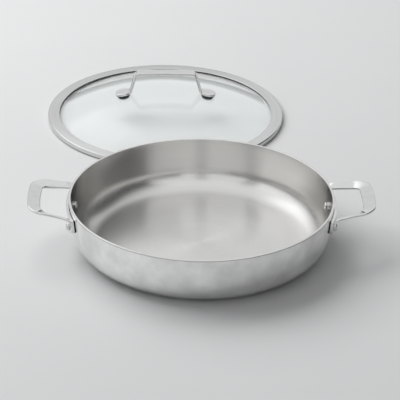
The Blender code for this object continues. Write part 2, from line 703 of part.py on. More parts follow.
def build_foot_fastening(side, side_name):
    """Build the seals, bush, washer and screw that hold one foot to the glass."""
    frame = foot_frame(side)
    bore = BOSS_RADIUS + BORE_GAP
    screw_bore = SCREW_RADIUS + BORE_GAP
    seal = disc_section(FOOT_SEAL_RADIUS, SHEET_GAP, SHEET_GAP + FOOT_SEAL_THICKNESS, bore)
    bush = disc_section(GLASS_BORE_RADIUS - BORE_GAP, -GLASS_THICKNESS, 0.0, bore)
    lower = disc_section(LOWER_SEAL_RADIUS, LOWER_SEAL_TOP - LOWER_SEAL_THICKNESS, LOWER_SEAL_TOP, bore)
    washer = disc_section(WASHER_RADIUS, WASHER_TOP - WASHER_THICKNESS, WASHER_TOP, screw_bore)
    pieces = (
        ("foot_seal", seal, SILICONE),
        ("glass_bush", bush, SILICONE),
        ("lower_seal", lower, SILICONE),
        ("cup_washer", washer, SATIN_STEEL),
        ("lid_screw", screw_section(), SATIN_STEEL),
    )
    built = []
    for name, section, finish in pieces:
        piece = turned(f"{name}_{side_name}", section, frame, SMALL_TURN_STEPS)
        built.append(dress(piece, finish))
    head_bottom = SCREW_HEAD_TOP - SCREW_HEAD_HEIGHT
    socket = disc_section(SCREW_SOCKET_RADIUS, 2 * head_bottom, head_bottom + SCREW_SOCKET_DEPTH)
    carve(built[-1], turned("socket", socket, frame, SCREW_SOCKET_SIDES), "DIFFERENCE")
    return built


def main():
    """Clear the scene, build the pan with its handles, and build the lid where it lies."""
    for obj in list(bpy.data.objects):
        bpy.data.objects.remove(obj)
    build_pan()
    build_handles()
    lid_pieces = [*build_lid_edge(), build_lid_handle()]
    for side, side_name in ((1, "right"), (-1, "left")):
        lid_pieces += build_foot_fastening(side, side_name)
    lid_frame = bpy.data.objects.new("lid_frame", None)
    lid_frame.location = LID_CENTRE
    bpy.context.collection.objects.link(lid_frame)
    for piece in lid_pieces:
        piece.parent = lid_frame


main()
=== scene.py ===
"""Looks of a wide clad-steel chefs pan and its glass lid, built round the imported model.

Lengths are in metres. The origin is the middle of the pan's base, on the worktop. +Z is up,
+X points to the right handle and -Y to the front. The lid lies on the same worktop at +Y.
"""

import logging
import math
from collections.abc import Callable, Iterator
from contextlib import contextmanager
from dataclasses import dataclass, field, replace
from enum import Enum

import bmesh
import bpy
from mathutils import Matrix, Vector


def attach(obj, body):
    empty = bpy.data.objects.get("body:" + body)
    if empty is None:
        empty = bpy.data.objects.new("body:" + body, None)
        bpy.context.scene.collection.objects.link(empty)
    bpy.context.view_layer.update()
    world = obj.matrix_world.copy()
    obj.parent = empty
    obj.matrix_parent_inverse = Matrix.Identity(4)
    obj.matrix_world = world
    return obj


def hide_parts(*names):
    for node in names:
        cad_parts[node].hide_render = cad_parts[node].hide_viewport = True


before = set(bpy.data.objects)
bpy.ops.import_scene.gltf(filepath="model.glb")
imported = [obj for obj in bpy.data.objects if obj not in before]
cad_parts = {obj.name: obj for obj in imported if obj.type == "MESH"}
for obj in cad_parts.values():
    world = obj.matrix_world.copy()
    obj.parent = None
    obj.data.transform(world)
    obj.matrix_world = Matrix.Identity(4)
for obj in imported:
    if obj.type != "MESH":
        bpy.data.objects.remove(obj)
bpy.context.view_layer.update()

LOG = logging.getLogger("chefs_pan")

MM = 0.001
QUARTER = math.pi / 2
MERGE = 1e-6  # Points nearer than this are one.
STILL = 1e-7  # A turn below this angle is none.
TURN = 192  # Edges round large rings.
SMALL_TURN = 64  # Edges round rivets, feet and screws.
CROWN_STEPS = 8
EDGE_STEPS = 4
STRAP_EDGE_STEPS = 6
CORNER_STEPS = 8
BEND_STEPS = 3  # The fewest in a path's bend.
FLAT_ANGLE = math.radians(1.0)  # Below this, two faces are one.
HARD_ANGLE = math.radians(32.0)  # From here an edge is shaded hard.
EASED_ANGLE = math.radians(40.0)  # From here an edge is rounded.

UP = Vector((0.0, 0.0, 1.0))
LEVEL = (1.0, 1.0, 0.0)  # Times a place, this leaves its level part.
NOISE_RANGE = (0.3, 0.7)  # Most of a noise lies in here.
SIDES = ((1, "right"), (-1, "left"))
ENDS = ((1, "back"), (-1, "front"))

Triple = tuple[float, float, float]
Colour = Triple
Section = list[tuple[float, float]]
Piece = bpy.types.Object
Socket = bpy.types.NodeSocket
Inputs = dict[str | int, object]


# Modelling by hand, in code


class Join(Enum):
    """What a Boolean does with its two bodies."""

    ADD = "UNION"
    CUT = "DIFFERENCE"
    KEEP_COMMON = "INTERSECT"


class Body(Enum):
    """The two loose bodies of the row."""

    PAN = "pan"
    LID = "lid"


def mirrored(spot: Vector) -> Vector:
    """Return a point's or direction's reflection in the plane y = 0."""
    return Vector((spot.x, -spot.y, spot.z))


@dataclass(frozen=True)
class Station:
    """One cross-section of a strap: its middle, its two directions and its size."""

    centre: Vector
    side: Vector
    up: Vector
    width: float
    thickness: float

    def axes(self) -> tuple[Vector, Vector, Vector]:
        """Return the side, up and lengthwise directions."""
        return self.side, self.up, self.side.cross(self.up)

    def mirrored(self) -> "Station":
        """Return the station's reflection in the plane y = 0."""
        return replace(self, centre=mirrored(self.centre), side=mirrored(self.side), up=mirrored(self.up))


def start_clean() -> None:
    """Leave edit mode and deselect everything."""
    if bpy.context.mode != "OBJECT":
        bpy.ops.object.mode_set(mode="OBJECT")
    bpy.ops.object.select_all(action="DESELECT")


def hold(piece: Piece) -> Piece:
    """Select one piece alone and make it the active one.

    Args:
        piece: The piece.

    Returns:
        The same piece.
    """
    start_clean()
    piece.select_set(True)
    bpy.context.view_layer.objects.active = piece
    return piece


def named(piece: Piece, name: str) -> Piece:
    """Give a piece and its mesh a name, and return the piece."""
    piece.name = piece.data.name = name
    return piece


def settle(piece: Piece) -> Piece:
    """Put a selected piece's place into its mesh, and return the piece."""
    bpy.ops.object.transform_apply(location=True, rotation=True, scale=True)
    return piece


@contextmanager
def editing(piece: Piece) -> Iterator[None]:
    """Hold one piece in edit mode for as long as the block runs.

    Args:
        piece: The piece that is edited.
    """
    hold(piece)
    bpy.ops.object.mode_set(mode="EDIT")
    try:
        yield
    finally:
        bpy.ops.object.mode_set(mode="OBJECT")


def pick(piece: Piece, wanted: Callable[[Vector], bool]) -> None:
    """Select, in edit mode, the vertices whose place passes a test.

    Args:
        piece: The piece in edit mode.
        wanted: The test of a vertex's place.
    """
    mesh = bmesh.from_edit_mesh(piece.data)
    for vert in mesh.verts:
        vert.select_set(bool(wanted(vert.co)))
    mesh.select_flush_mode()
    bmesh.update_edit_mesh(piece.data)


def close_up(piece: Piece) -> None:
    """Merge doubles and turn every face outwards.

    Args:
        piece: The closed piece, in object mode.
    """
    with editing(piece):
        bpy.ops.mesh.select_all(action="SELECT")
        bpy.ops.mesh.remove_doubles(threshold=MERGE)
        bpy.ops.mesh.normals_make_consistent(inside=False)


def smooth(piece: Piece) -> Piece:
    """Shade a piece smooth, with its hard edges kept.

    Args:
        piece: The piece.

    Returns:
        The same piece.
    """
    hold(piece)
    bpy.ops.object.shade_smooth_by_angle(angle=HARD_ANGLE)
    return piece


def apply_modifiers(piece: Piece) -> None:
    """Apply every modifier of a piece in order."""
    for modifier in list(hold(piece).modifiers):
        bpy.ops.object.modifier_apply(modifier=modifier.name)


def combine(piece: Piece, tool: Piece, join: Join) -> None:
    """Join, cut or keep what is common of two bodies, and remove the tool.

    Args:
        piece: The body that stays.
        tool: The body that is used up.
        join: What is done.
    """
    modifier = piece.modifiers.new(join.name.lower(), "BOOLEAN")
    modifier.operation = join.value
    modifier.solver = "EXACT"
    modifier.object = tool
    apply_modifiers(piece)
    bpy.data.objects.remove(tool)


def ease_edges(piece: Piece, width: float) -> None:
    """Round a piece's hard edges.

    Args:
        piece: The piece.
        width: The width of the rounding.
    """
    modifier = piece.modifiers.new("ease", "BEVEL")
    modifier.width = width
    modifier.segments = EDGE_STEPS
    modifier.limit_method = "ANGLE"
    modifier.angle_limit = EASED_ANGLE
    apply_modifiers(piece)


def place(piece: Piece, where: Matrix) -> Piece:
    """Move a finished piece, by a frame or a move, and return it."""
    hold(piece).matrix_world = where @ piece.matrix_world
    return settle(piece)


def copy_to(piece: Piece, name: str, where: Matrix) -> Piece:
    """Copy a piece with its own mesh and place the copy.

    Args:
        piece: The piece to copy.
        name: The copy's name.
        where: The move from the piece to the copy.

    Returns:
        The copy.
    """
    twin = piece.copy()
    twin.data = piece.data.copy()
    bpy.context.collection.objects.link(named(twin, name))
    return place(twin, where)


def turn(name: str, section: Section, steps: int = TURN) -> Piece:
    """Turn a piece about Z: a ring is drawn out, edge by edge, along its section.

    Args:
        name: The piece's name.
        section: Points of (radius, height). One that starts on the axis also ends on it, and any
            other is the section of a closed ring.
        steps: How many edges go round.

    Returns:
        The closed piece, standing at the origin.
    """
    start_clean()
    solid = section[0][0] < MERGE
    course = section[1:] if solid else [*section, section[0]]
    radius, height = course[0]
    bpy.ops.mesh.primitive_circle_add(
        vertices=steps, radius=radius, fill_type="TRIFAN" if solid else "NOTHING", location=(0, 0, height)
    )
    piece = settle(named(bpy.context.active_object, name))
    with editing(piece):
        if solid:
            pick(piece, lambda spot: spot.xy.length < MERGE)
            bpy.ops.transform.translate(value=(0, 0, section[0][1] - height))
            pick(piece, lambda spot: spot.xy.length > MERGE)
        else:
            bpy.ops.mesh.select_all(action="SELECT")
        for wide, tall in course[1:]:
            bpy.ops.mesh.extrude_edges_move(TRANSFORM_OT_translate={"value": (0, 0, tall - height)})
            share = wide / radius
            bpy.ops.transform.resize(value=(share, share, 1), center_override=(0, 0, tall))
            radius, height = max(wide, MERGE), tall
    close_up(piece)
    return smooth(piece)


def draw_out(name: str, stations: list[Station], edge: float) -> Piece:
    """Draw a strap out of its first cross-section, station by station.

    Args:
        name: The piece's name.
        stations: The cross-sections, from one end to the other.
        edge: The radius of the strap's four long edges.

    Returns:
        The closed strap.
    """
    start_clean()
    first = stations[0]
    bpy.ops.mesh.primitive_plane_add(size=1.0)
    strap = named(bpy.context.active_object, name)
    turned = Matrix(first.axes()).transposed().to_4x4()
    size = Matrix.Diagonal((first.width, first.thickness, 1, 1))
    strap.matrix_world = Matrix.Translation(first.centre) @ turned @ size
    with editing(settle(strap)):
        bpy.ops.mesh.select_all(action="SELECT")
        bpy.ops.mesh.bevel(offset=edge, segments=STRAP_EDGE_STEPS, affect="VERTICES")
        for now, after in zip(stations, stations[1:]):
            shift = tuple(after.centre - now.centre)
            bpy.ops.mesh.extrude_region_move(TRANSFORM_OT_translate={"value": shift})
            swing_face(now, after)
            grow = (after.width / now.width, after.thickness / now.thickness, 1)
            bpy.ops.transform.resize(
                value=grow, orient_type="GLOBAL", orient_matrix=[tuple(axis) for axis in after.axes()],
                orient_matrix_type="GLOBAL", center_override=tuple(after.centre),
            )
    close_up(strap)
    return strap


def swing_face(now: Station, after: Station) -> None:
    """Turn the selected face of a strap from one station's directions to the next one's.

    Args:
        now: The station that the face comes from.
        after: The station that it has been moved to.
    """
    change = (Matrix(after.axes()).transposed() @ Matrix(now.axes())).to_quaternion()
    axis, angle = change.to_axis_angle()
    if abs(angle) < STILL:
        return
    across = axis.orthogonal().normalized()
    basis = [tuple(across), tuple(axis.cross(across)), tuple(axis)]
    bpy.ops.transform.rotate(
        value=angle, orient_axis="Z", orient_type="GLOBAL", orient_matrix=basis, orient_matrix_type="GLOBAL",
        constraint_axis=(False, False, True), center_override=tuple(after.centre),
    )


# Sections and paths


def arc(centre: tuple[float, float], radius: float, start: float, end: float, steps: int) -> Section:
    """Return an arc's points, both ends included; angles are in radians from the outward side."""
    angles = [start + (end - start) * step / steps for step in range(steps + 1)]
    return [(centre[0] + radius * math.cos(a), centre[1] + radius * math.sin(a)) for a in angles]


def plug(radius: float, low: float, high: float) -> Section:
    """Return the section of a plain round plug between two heights."""
    return [(0.0, low), (radius, low), (radius, high), (0.0, high)]


def crown(radius: float, height: float, base: float) -> Section:
    """Return a head's crown from its edge to the axis; with a negative height it points down."""
    angles = [QUARTER * step / CROWN_STEPS for step in range(CROWN_STEPS)]
    return [*((radius * math.cos(a), base + height * math.sin(a)) for a in angles), (0.0, base + height)]


def eased_disc(radius: float, bottom: float, top: float, edge: float, bore: float = 0.0) -> Section:
    """Return the section of a disc or washer with rounded outer edges.

    Args:
        radius: The disc's radius.
        bottom: The height of its underside.
        top: The height of its upper side.
        edge: The radius of its outer edges.
        bore: The radius of its bore, if it has one.

    Returns:
        The section.
    """
    lower = arc((radius - edge, bottom + edge), edge, -QUARTER, 0.0, EDGE_STEPS)
    upper = arc((radius - edge, top - edge), edge, 0.0, QUARTER, EDGE_STEPS)
    return [(bore, bottom), *lower, *upper, (bore, top)]


def filleted(corners: list[Vector], radii: list[float], spacing: float) -> list[Vector]:
    """Return points along straight runs through the corners, each corner rounded.

    Args:
        corners: The path's two ends, with the corners between them.
        radii: One radius for each corner.
        spacing: The distance between points.

    Returns:
        The points, both ends included.
    """
    points = [corners[0]]
    for before, corner, after, radius in zip(corners, corners[1:], corners[2:], radii):
        into = (corner - before).normalized()
        out = (after - corner).normalized()
        bend = into.angle(out)
        start = corner - into * radius * math.tan(bend / 2)
        centre = start + (out - into * into.dot(out)).normalized() * radius
        points += run_to(points[-1], start, spacing)
        axis = into.cross(out).normalized()
        steps = max(BEND_STEPS, round(radius * bend / spacing))
        for step in range(1, steps + 1):
            points.append(centre + Matrix.Rotation(bend * step / steps, 3, axis) @ (start - centre))
    return points + run_to(points[-1], corners[-1], spacing)


def run_to(start: Vector, end: Vector, spacing: float) -> list[Vector]:
    """Return evenly spaced points after the start of a straight run, up to its end."""
    count = max(1, round((end - start).length / spacing))
    return [start.lerp(end, step / count) for step in range(1, count + 1)]


def headings(points: list[Vector]) -> list[Vector]:
    """Return the direction of travel at each point of a path."""
    ends = zip([points[0], *points[:-1]], [*points[1:], points[-1]])
    return [(after - before).normalized() for before, after in ends]


def smooth_step(value: float) -> float:
    """Ease from 0 to 1 as the value goes from 0 to 1."""
    held = min(max(value, 0.0), 1.0)
    return held * held * (3.0 - 2.0 * held)


# Finishes


def shifted(colour: Colour, change: float) -> Colour:
    """Return a colour with a number added to each channel."""
    return tuple(channel + change for channel in colour)


class NodeDesk:
    """Adds and joins shader nodes."""

    def __init__(self, tree: bpy.types.NodeTree) -> None:
        """Work on one node tree."""
        self.tree = tree

    def fill(self, node: bpy.types.Node, inputs: Inputs) -> bpy.types.Node:
        """Link a node's inputs to outputs, or set them to plain values.

        Args:
            node: The node.
            inputs: The outputs or values, by the input's name or number.

        Returns:
            The same node.
        """
        for key, value in inputs.items():
            if isinstance(value, Socket):
                self.tree.links.new(value, node.inputs[key])
            else:
                node.inputs[key].default_value = value
        return node

    def add(self, kind: str, inputs: Inputs | None = None, **settings: str) -> bpy.types.Node:
        """Add a node.

        Args:
            kind: The node's type, without the words that they all start with.
            inputs: What goes into it, by the input's name or number.
            settings: Its properties.

        Returns:
            The node.
        """
        node = self.tree.nodes.new("ShaderNode" + kind)
        for key, value in settings.items():
            setattr(node, key, value)
        return self.fill(node, inputs or {})

    def number(self, operation: str, *inputs: Socket | float) -> Socket:
        """Return a sum, product or the like of numbers."""
        return self.add("Math", dict(enumerate(inputs)), operation=operation).outputs[0]

    def vector(self, operation: str, *inputs: object) -> Socket:
        """Return a sum, product or the like of vectors, or their dot product or length as a number."""
        node = self.add("VectorMath", dict(enumerate(inputs)), operation=operation)
        return node.outputs["Value" if operation in ("DOT_PRODUCT", "LENGTH") else "Vector"]

    def place_from(self, centre: Vector) -> Socket:
        """Return the place on the object, measured from a centre."""
        spot = self.add("TexCoord").outputs["Object"]
        return self.add("Mapping", {"Vector": spot, "Location": -centre}).outputs["Vector"]

    def height(self, spot: Socket) -> Socket:
        """Return the upward part of a place or direction."""
        return self.add("SeparateXYZ", {0: spot}).outputs["Z"]

    def noise(self, spot: Socket, waves: float, detail: float = 3.0) -> Socket:
        """Return soft noise from 0 to 1, with so many waves for a unit of place."""
        return self.add("TexNoise", {"Vector": spot, "Scale": waves, "Detail": detail}).outputs["Fac"]

    def blend(self, first: Socket, second: Socket, share: float = 0.5) -> Socket:
        """Return the sum of two patterns, with the second one's share."""
        rest = self.number("MULTIPLY", first, 1.0 - share)
        return self.number("ADD", rest, self.number("MULTIPLY", second, share))

    def ramp(
        self, value: Socket, start: float, end: float, low: float = 0.0, high: float = 1.0,
        course: str = "SMOOTHSTEP",
    ) -> Socket:
        """Return a number that goes from low to high as the value goes from start to end."""
        inputs = {"Value": value, "From Min": start, "From Max": end, "To Min": low, "To Max": high}
        return self.add("MapRange", inputs, interpolation_type=course).outputs["Result"]

    def between(self, noise: Socket, low: float, high: float) -> Socket:
        """Return a noise's middle range spread between two numbers."""
        return self.ramp(noise, *NOISE_RANGE, low, high, "LINEAR")

    def about(self, noise: Socket, middle: float, spread: float) -> Socket:
        """Return a noise's middle range spread about a number."""
        return self.between(noise, middle - spread, middle + spread)

    def tint(self, noise: Socket, dark: Colour, pale: Colour) -> Socket:
        """Return a colour between two, chosen by a noise."""
        inputs = {"Factor": self.between(noise, 0.0, 1.0), "A": (*dark, 1.0), "B": (*pale, 1.0)}
        return self.add("Mix", inputs, data_type="RGBA").outputs["Result"]


class MaterialDesk(NodeDesk):
    """The nodes of one material round its Principled shader."""

    def __init__(self, name: str) -> None:
        """Start a material.

        Args:
            name: Its name.
        """
        self.material = bpy.data.materials.new(name)
        self.material.use_nodes = True
        super().__init__(self.material.node_tree)
        self.shader = self.tree.nodes["Principled BSDF"]

    def finish(self, colour: Socket, roughness: Socket | float, **others: object) -> bpy.types.Material:
        """Feed the shader.

        Args:
            colour: The base colour.
            roughness: The roughness.
            others: What goes into its other inputs, with an underscore for each space in a name.

        Returns:
            The material.
        """
        inputs = {key.replace("_", " "): value for key, value in others.items()}
        self.fill(self.shader, {"Base Color": colour, "Roughness": roughness, **inputs})
        return self.material

    def bump(self, height: Socket, depth: float = 1.0, strength: float = 1.0) -> None:
        """Press a height pattern into the surface, so many metres deep, and show a share of it."""
        node = self.add("Bump", {"Height": height, "Distance": depth, "Strength": strength})
        self.fill(self.shader, {"Normal": node.outputs["Normal"]})


@dataclass(frozen=True)
class BrushedSteel:
    """Stainless steel brushed in circles about one upright axis.

    The barrel and the cone are a steady tilt of the surface's shading, up and outwards.
    """

    name: str
    centre: Vector
    colour: Colour
    colour_spread: float
    roughness: float
    roughness_spread: float
    brushing: float
    brushing_turn: float = 0.25
    line_pitch: float = 0.6 * MM
    line_turn: float = 1.2
    line_depth: float = 0.001 * MM
    band_waves: float = 60.0
    band_turn: float = 1.2
    ring_detail: float = 2.0
    smudges: float = 0.0
    smudge_waves: float = 42.0
    smudge_detail: float = 6.0
    barrel: float = 0.0
    cone: float = 0.0
    floor_wear: float = 0.0
    wear_heights: tuple[float, float] = (4.0 * MM, 26.0 * MM)

    def make(self) -> bpy.types.Material:
        """Make the finish: fine rings of scratches, with broad bands of wear across them.

        Returns:
            The material.
        """
        desk = MaterialDesk(self.name)
        spot = desk.place_from(self.centre)
        flat = desk.vector("MULTIPLY", spot, LEVEL)
        outward = desk.vector("NORMALIZE", flat)
        radius = desk.vector("LENGTH", flat)
        lines = self.rings(desk, spot, outward, radius, 1.0 / self.line_pitch, self.line_turn)
        bands = self.rings(desk, spot, outward, radius, self.band_waves, self.band_turn)
        pattern = desk.blend(lines, bands)
        spread = self.colour_spread + self.smudges
        if self.smudges:
            clouds = desk.noise(spot, self.smudge_waves, self.smudge_detail)
            pattern = desk.blend(pattern, clouds, self.smudges / spread)
        roughness = desk.about(bands, self.roughness, self.roughness_spread)
        if self.floor_wear:
            worn = desk.ramp(desk.height(spot), *self.wear_heights, self.floor_wear, 0.0)
            roughness = desk.number("ADD", roughness, worn)
        relief = desk.number("MULTIPLY", lines, self.line_depth)
        if self.barrel:
            relief = desk.number("ADD", relief, desk.number("MULTIPLY", desk.height(spot), self.barrel))
        if self.cone:
            relief = desk.number("SUBTRACT", relief, desk.number("MULTIPLY", radius, self.cone))
        desk.bump(relief)
        return desk.finish(
            desk.tint(pattern, shifted(self.colour, -spread), shifted(self.colour, spread)), roughness,
            Metallic=1.0, Anisotropic=self.brushing, Anisotropic_Rotation=self.brushing_turn,
            Tangent=desk.vector("CROSS_PRODUCT", UP, outward),
        )

    def rings(
        self, desk: MaterialDesk, spot: Socket, outward: Socket, radius: Socket, fineness: float,
        turn_waves: float,
    ) -> Socket:
        """Return noise that is long round the axis and short along the radius and the height.

        Args:
            desk: The material's nodes.
            spot: The place from the axis.
            outward: The direction away from the axis.
            radius: The distance from it.
            fineness: Waves for each metre of radius or height.
            turn_waves: Waves round a part of a turn.

        Returns:
            The noise.
        """
        turned = desk.add("VectorMath", {0: outward, "Scale": turn_waves}, operation="SCALE").outputs[0]
        tall = desk.vector("MULTIPLY", spot, (0.0, 0.0, fineness))
        inputs = {
            "Vector": desk.vector("ADD", turned, tall), "W": desk.number("MULTIPLY", radius, fineness),
            "Scale": 1.0, "Detail": self.ring_detail,
        }
        return desk.add("TexNoise", inputs, noise_dimensions="4D").outputs["Fac"]


@dataclass(frozen=True)
class PolishedSteel:
    """Cast stainless steel polished by hand: faint waves, with fine scratches that cross."""

    name: str
    roughness: float
    roughness_spread: float = 0.03
    colour: Colour = (0.72, 0.72, 0.715)
    colour_spread: float = 0.02
    cloud_waves: float = 120.0
    scratch_waves: Triple = (300.0, 2500.0, 900.0)
    scratch_detail: float = 2.0
    wave_depth: float = 0.03 * MM
    wave_share: float = 0.35

    def make(self) -> bpy.types.Material:
        """Make the finish.

        Returns:
            The material.
        """
        desk = MaterialDesk(self.name)
        spot = desk.place_from(Vector())
        clouds = desk.noise(spot, self.cloud_waves)
        scratches = desk.noise(desk.vector("MULTIPLY", spot, self.scratch_waves), 1.0, self.scratch_detail)
        dark, pale = shifted(self.colour, -self.colour_spread), shifted(self.colour, self.colour_spread)
        roughness = desk.about(desk.blend(clouds, scratches), self.roughness, self.roughness_spread)
        desk.bump(clouds, self.wave_depth, self.wave_share)
        return desk.finish(desk.tint(clouds, dark, pale), roughness, Metallic=1.0)


@dataclass(frozen=True)
class ClearGlass:
    """Tempered glass with its faint green body and a breath of haze from wiping."""

    name: str
    centre: Vector
    colour: Colour = (0.985, 0.998, 0.993)
    colour_spread: float = 0.015
    haze: float = 0.03
    wipe_waves: Triple = (9.0, 22.0, 9.0)
    wipe_detail: float = 4.0
    bending: float = 1.5
    shadow: Colour = (0.97, 0.985, 0.98)

    def make(self) -> bpy.types.Material:
        """Make the finish, which lets light through to what it shades.

        Returns:
            The material.
        """
        desk = MaterialDesk(self.name)
        spot = desk.place_from(self.centre)
        wiped = desk.noise(desk.vector("MULTIPLY", spot, self.wipe_waves), 1.0, self.wipe_detail)
        tint = desk.tint(wiped, shifted(self.colour, -self.colour_spread), self.colour)
        clear = desk.add("BsdfTransparent", {"Color": (*self.shadow, 1.0)}).outputs[0]
        shadow_ray = desk.add("LightPath").outputs["Is Shadow Ray"]
        choice = desk.add("MixShader", {0: shadow_ray, 1: desk.shader.outputs[0], 2: clear})
        desk.fill(desk.tree.nodes["Material Output"], {"Surface": choice.outputs[0]})
        haze = desk.between(wiped, 0.0, self.haze)
        return desk.finish(tint, haze, Transmission_Weight=1.0, IOR=self.bending)


@dataclass(frozen=True)
class Silicone:
    """Dark moulded silicone with a fine matt grain."""

    name: str
    colour: Colour = (0.07, 0.07, 0.072)
    dust: float = 1.5
    roughness: float = 0.55
    roughness_spread: float = 0.08
    shine: float = 0.4
    dust_waves: float = 160.0
    grain_waves: float = 2500.0
    grain_depth: float = 0.05 * MM
    grain_share: float = 0.4

    def make(self) -> bpy.types.Material:
        """Make the finish.

        Returns:
            The material.
        """
        desk = MaterialDesk(self.name)
        spot = desk.place_from(Vector())
        dust = desk.noise(spot, self.dust_waves)
        pale = tuple(channel * self.dust for channel in self.colour)
        desk.bump(desk.noise(spot, self.grain_waves), self.grain_depth, self.grain_share)
        roughness = desk.about(dust, self.roughness, self.roughness_spread)
        return desk.finish(desk.tint(dust, self.colour, pale), roughness, Specular_IOR_Level=self.shine)


@dataclass(frozen=True)
class RolledAluminium:
    """Plain rolled aluminium, as at the cut edge of a clad sheet."""

    name: str
    colour: Colour = (0.75, 0.76, 0.77)
    spread: float = 0.06
    roughness: float = 0.38
    line_waves: Triple = (60.0, 1800.0, 1800.0)
    line_depth: float = 0.01 * MM
    line_share: float = 0.5

    def make(self) -> bpy.types.Material:
        """Make the finish.

        Returns:
            The material.
        """
        desk = MaterialDesk(self.name)
        lines = desk.noise(desk.vector("MULTIPLY", desk.place_from(Vector()), self.line_waves), 1.0)
        desk.bump(lines, self.line_depth, self.line_share)
        tint = desk.tint(lines, shifted(self.colour, -self.spread), self.colour)
        return desk.finish(tint, desk.about(lines, self.roughness, self.spread), Metallic=1.0)


@dataclass(frozen=True)
class PaleTop:
    """A plain pale worktop, dull and hardly clouded."""

    name: str
    colour: Colour = (0.76, 0.762, 0.765)
    colour_spread: float = 0.012
    roughness: float = 0.5
    shine: float = 0.2
    cloud_waves: float = 6.0
    cloud_detail: float = 4.0

    def make(self) -> bpy.types.Material:
        """Make the finish.

        Returns:
            The material.
        """
        desk = MaterialDesk(self.name)
        clouds = desk.noise(desk.place_from(Vector()), self.cloud_waves, self.cloud_detail)
        tint = desk.tint(clouds, shifted(self.colour, -self.colour_spread), self.colour)
        return desk.finish(tint, self.roughness, Specular_IOR_Level=self.shine)


def finish_piece(piece: Piece, material: bpy.types.Material, body: Body, slot: str, *nodes: str) -> None:
    """Give a piece its material and its body, hide the CAD nodes that it stands for, and log it.

    Args:
        piece: The finished piece.
        material: Its material.
        body: The body that it rides on.
        slot: The record's material slot, which is only logged.
        nodes: The CAD nodes that it replaces.
    """
    piece.data.materials.clear()
    piece.data.materials.append(material)
    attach(piece, body.value)
    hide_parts(*nodes)
    LOG.info("%s: %d faces, %s, for %s", piece.name, len(piece.data.polygons), slot, ", ".join(nodes))


# Pan


@dataclass
class PanBody:
    """The clad pan: an outer steel sheet, an aluminium core and an inner sheet that ends in the rim."""

    rim_radius: float = 155.0 * MM
    height: float = 63.5 * MM
    wall_lean: float = math.radians(5.0)
    corner_radius: float = 31.0 * MM
    skin: float = 0.6 * MM
    core: float = 1.0 * MM
    liner: float = 0.5 * MM
    gap: float = 0.3 * MM
    lip_height: float = 1.0 * MM
    lip_edge: float = 0.5 * MM
    lip_setback: float = 0.05 * MM
    lip_steps: int = 5
    corner_steps: int = 14
    wall_steps: int = 6
    floor_rings: tuple[float, ...] = (30.0 * MM, 60.0 * MM, 90.0 * MM)

    def thickness(self) -> float:
        """Return the whole wall's thickness."""
        return self.skin + self.core + self.liner + 2 * self.gap

    def wall_radius(self, height: float) -> float:
        """Return the outer radius at a height on the straight wall."""
        return self.rim_radius - (self.height - height) * math.tan(self.wall_lean)

    def surface(self, offset: float, top: float) -> Section:
        """Return the surface inside the outer one by an offset.

        Args:
            offset: How far inside it lies.
            top: The height where it ends.

        Returns:
            Its points, from the axis to the top.
        """
        straight = (self.height - self.corner_radius) * math.sin(self.wall_lean)
        knuckle = self.rim_radius - (straight + self.corner_radius) / math.cos(self.wall_lean)
        centre = (knuckle, self.corner_radius)
        bend = arc(centre, self.corner_radius - offset, -QUARTER, -self.wall_lean, self.corner_steps)
        ends = list(zip(bend[-1], (self.wall_radius(top) - offset / math.cos(self.wall_lean), top)))
        shares = [step / self.wall_steps for step in range(1, self.wall_steps + 1)]
        wall = [tuple(low + (high - low) * share for low, high in ends) for share in shares]
        return [(0.0, offset), *((ring, offset) for ring in self.floor_rings), *bend, *wall]

    def sheet(self, name: str, outer: float, inner: float) -> Piece:
        """Return one sheet between two offsets, ending under the rim's lip."""
        top = self.height - self.lip_height - self.gap
        return turn(name, self.surface(outer, top) + self.surface(inner, top)[::-1])

    def lined(self) -> Piece:
        """Build the inner sheet, whose lip closes the rim with a rounded, polished edge.

        Returns:
            The sheet.
        """
        lip_bottom, edge = self.height - self.lip_height, self.lip_edge
        outer = self.surface(self.thickness() - self.liner, lip_bottom)
        inner = self.surface(self.thickness(), self.height)[::-1]
        high = self.height - edge
        lip = [
            (self.wall_radius(lip_bottom), lip_bottom),
            *arc((self.rim_radius - edge - self.lip_setback, high), edge, 0.0, QUARTER, self.lip_steps),
            *arc((inner[0][0] + edge, high), edge, QUARTER, math.pi, self.lip_steps),
        ]
        return turn("pan_liner", outer + lip + inner[1:])

    def build(self) -> None:
        """Build and dress the three sheets."""
        steel = BrushedSteel(
            "outer_steel_circular_satin", Vector(), colour=(0.84, 0.84, 0.835), colour_spread=0.02,
            roughness=0.09, roughness_spread=0.03, brushing=0.3, smudges=0.11,
        )
        satin = BrushedSteel(
            "inner_steel_circular_satin", Vector(), colour=(0.77, 0.765, 0.75), colour_spread=0.02,
            roughness=0.18, roughness_spread=0.015, brushing=0.78, floor_wear=0.14, barrel=0.14,
            line_pitch=6.0 * MM, line_depth=0.0002 * MM,
        )
        first = self.skin + self.gap
        skin = self.sheet("pan_skin", 0.0, self.skin)
        finish_piece(skin, steel.make(), Body.PAN, "outer_steel", "steel_skin")
        core = self.sheet("pan_core", first, first + self.core)
        aluminium = RolledAluminium("core_aluminium_rolled")
        finish_piece(core, aluminium.make(), Body.PAN, "core_aluminium", "aluminium_core")
        finish_piece(self.lined(), satin.make(), Body.PAN, "inner_steel", "steel_liner")


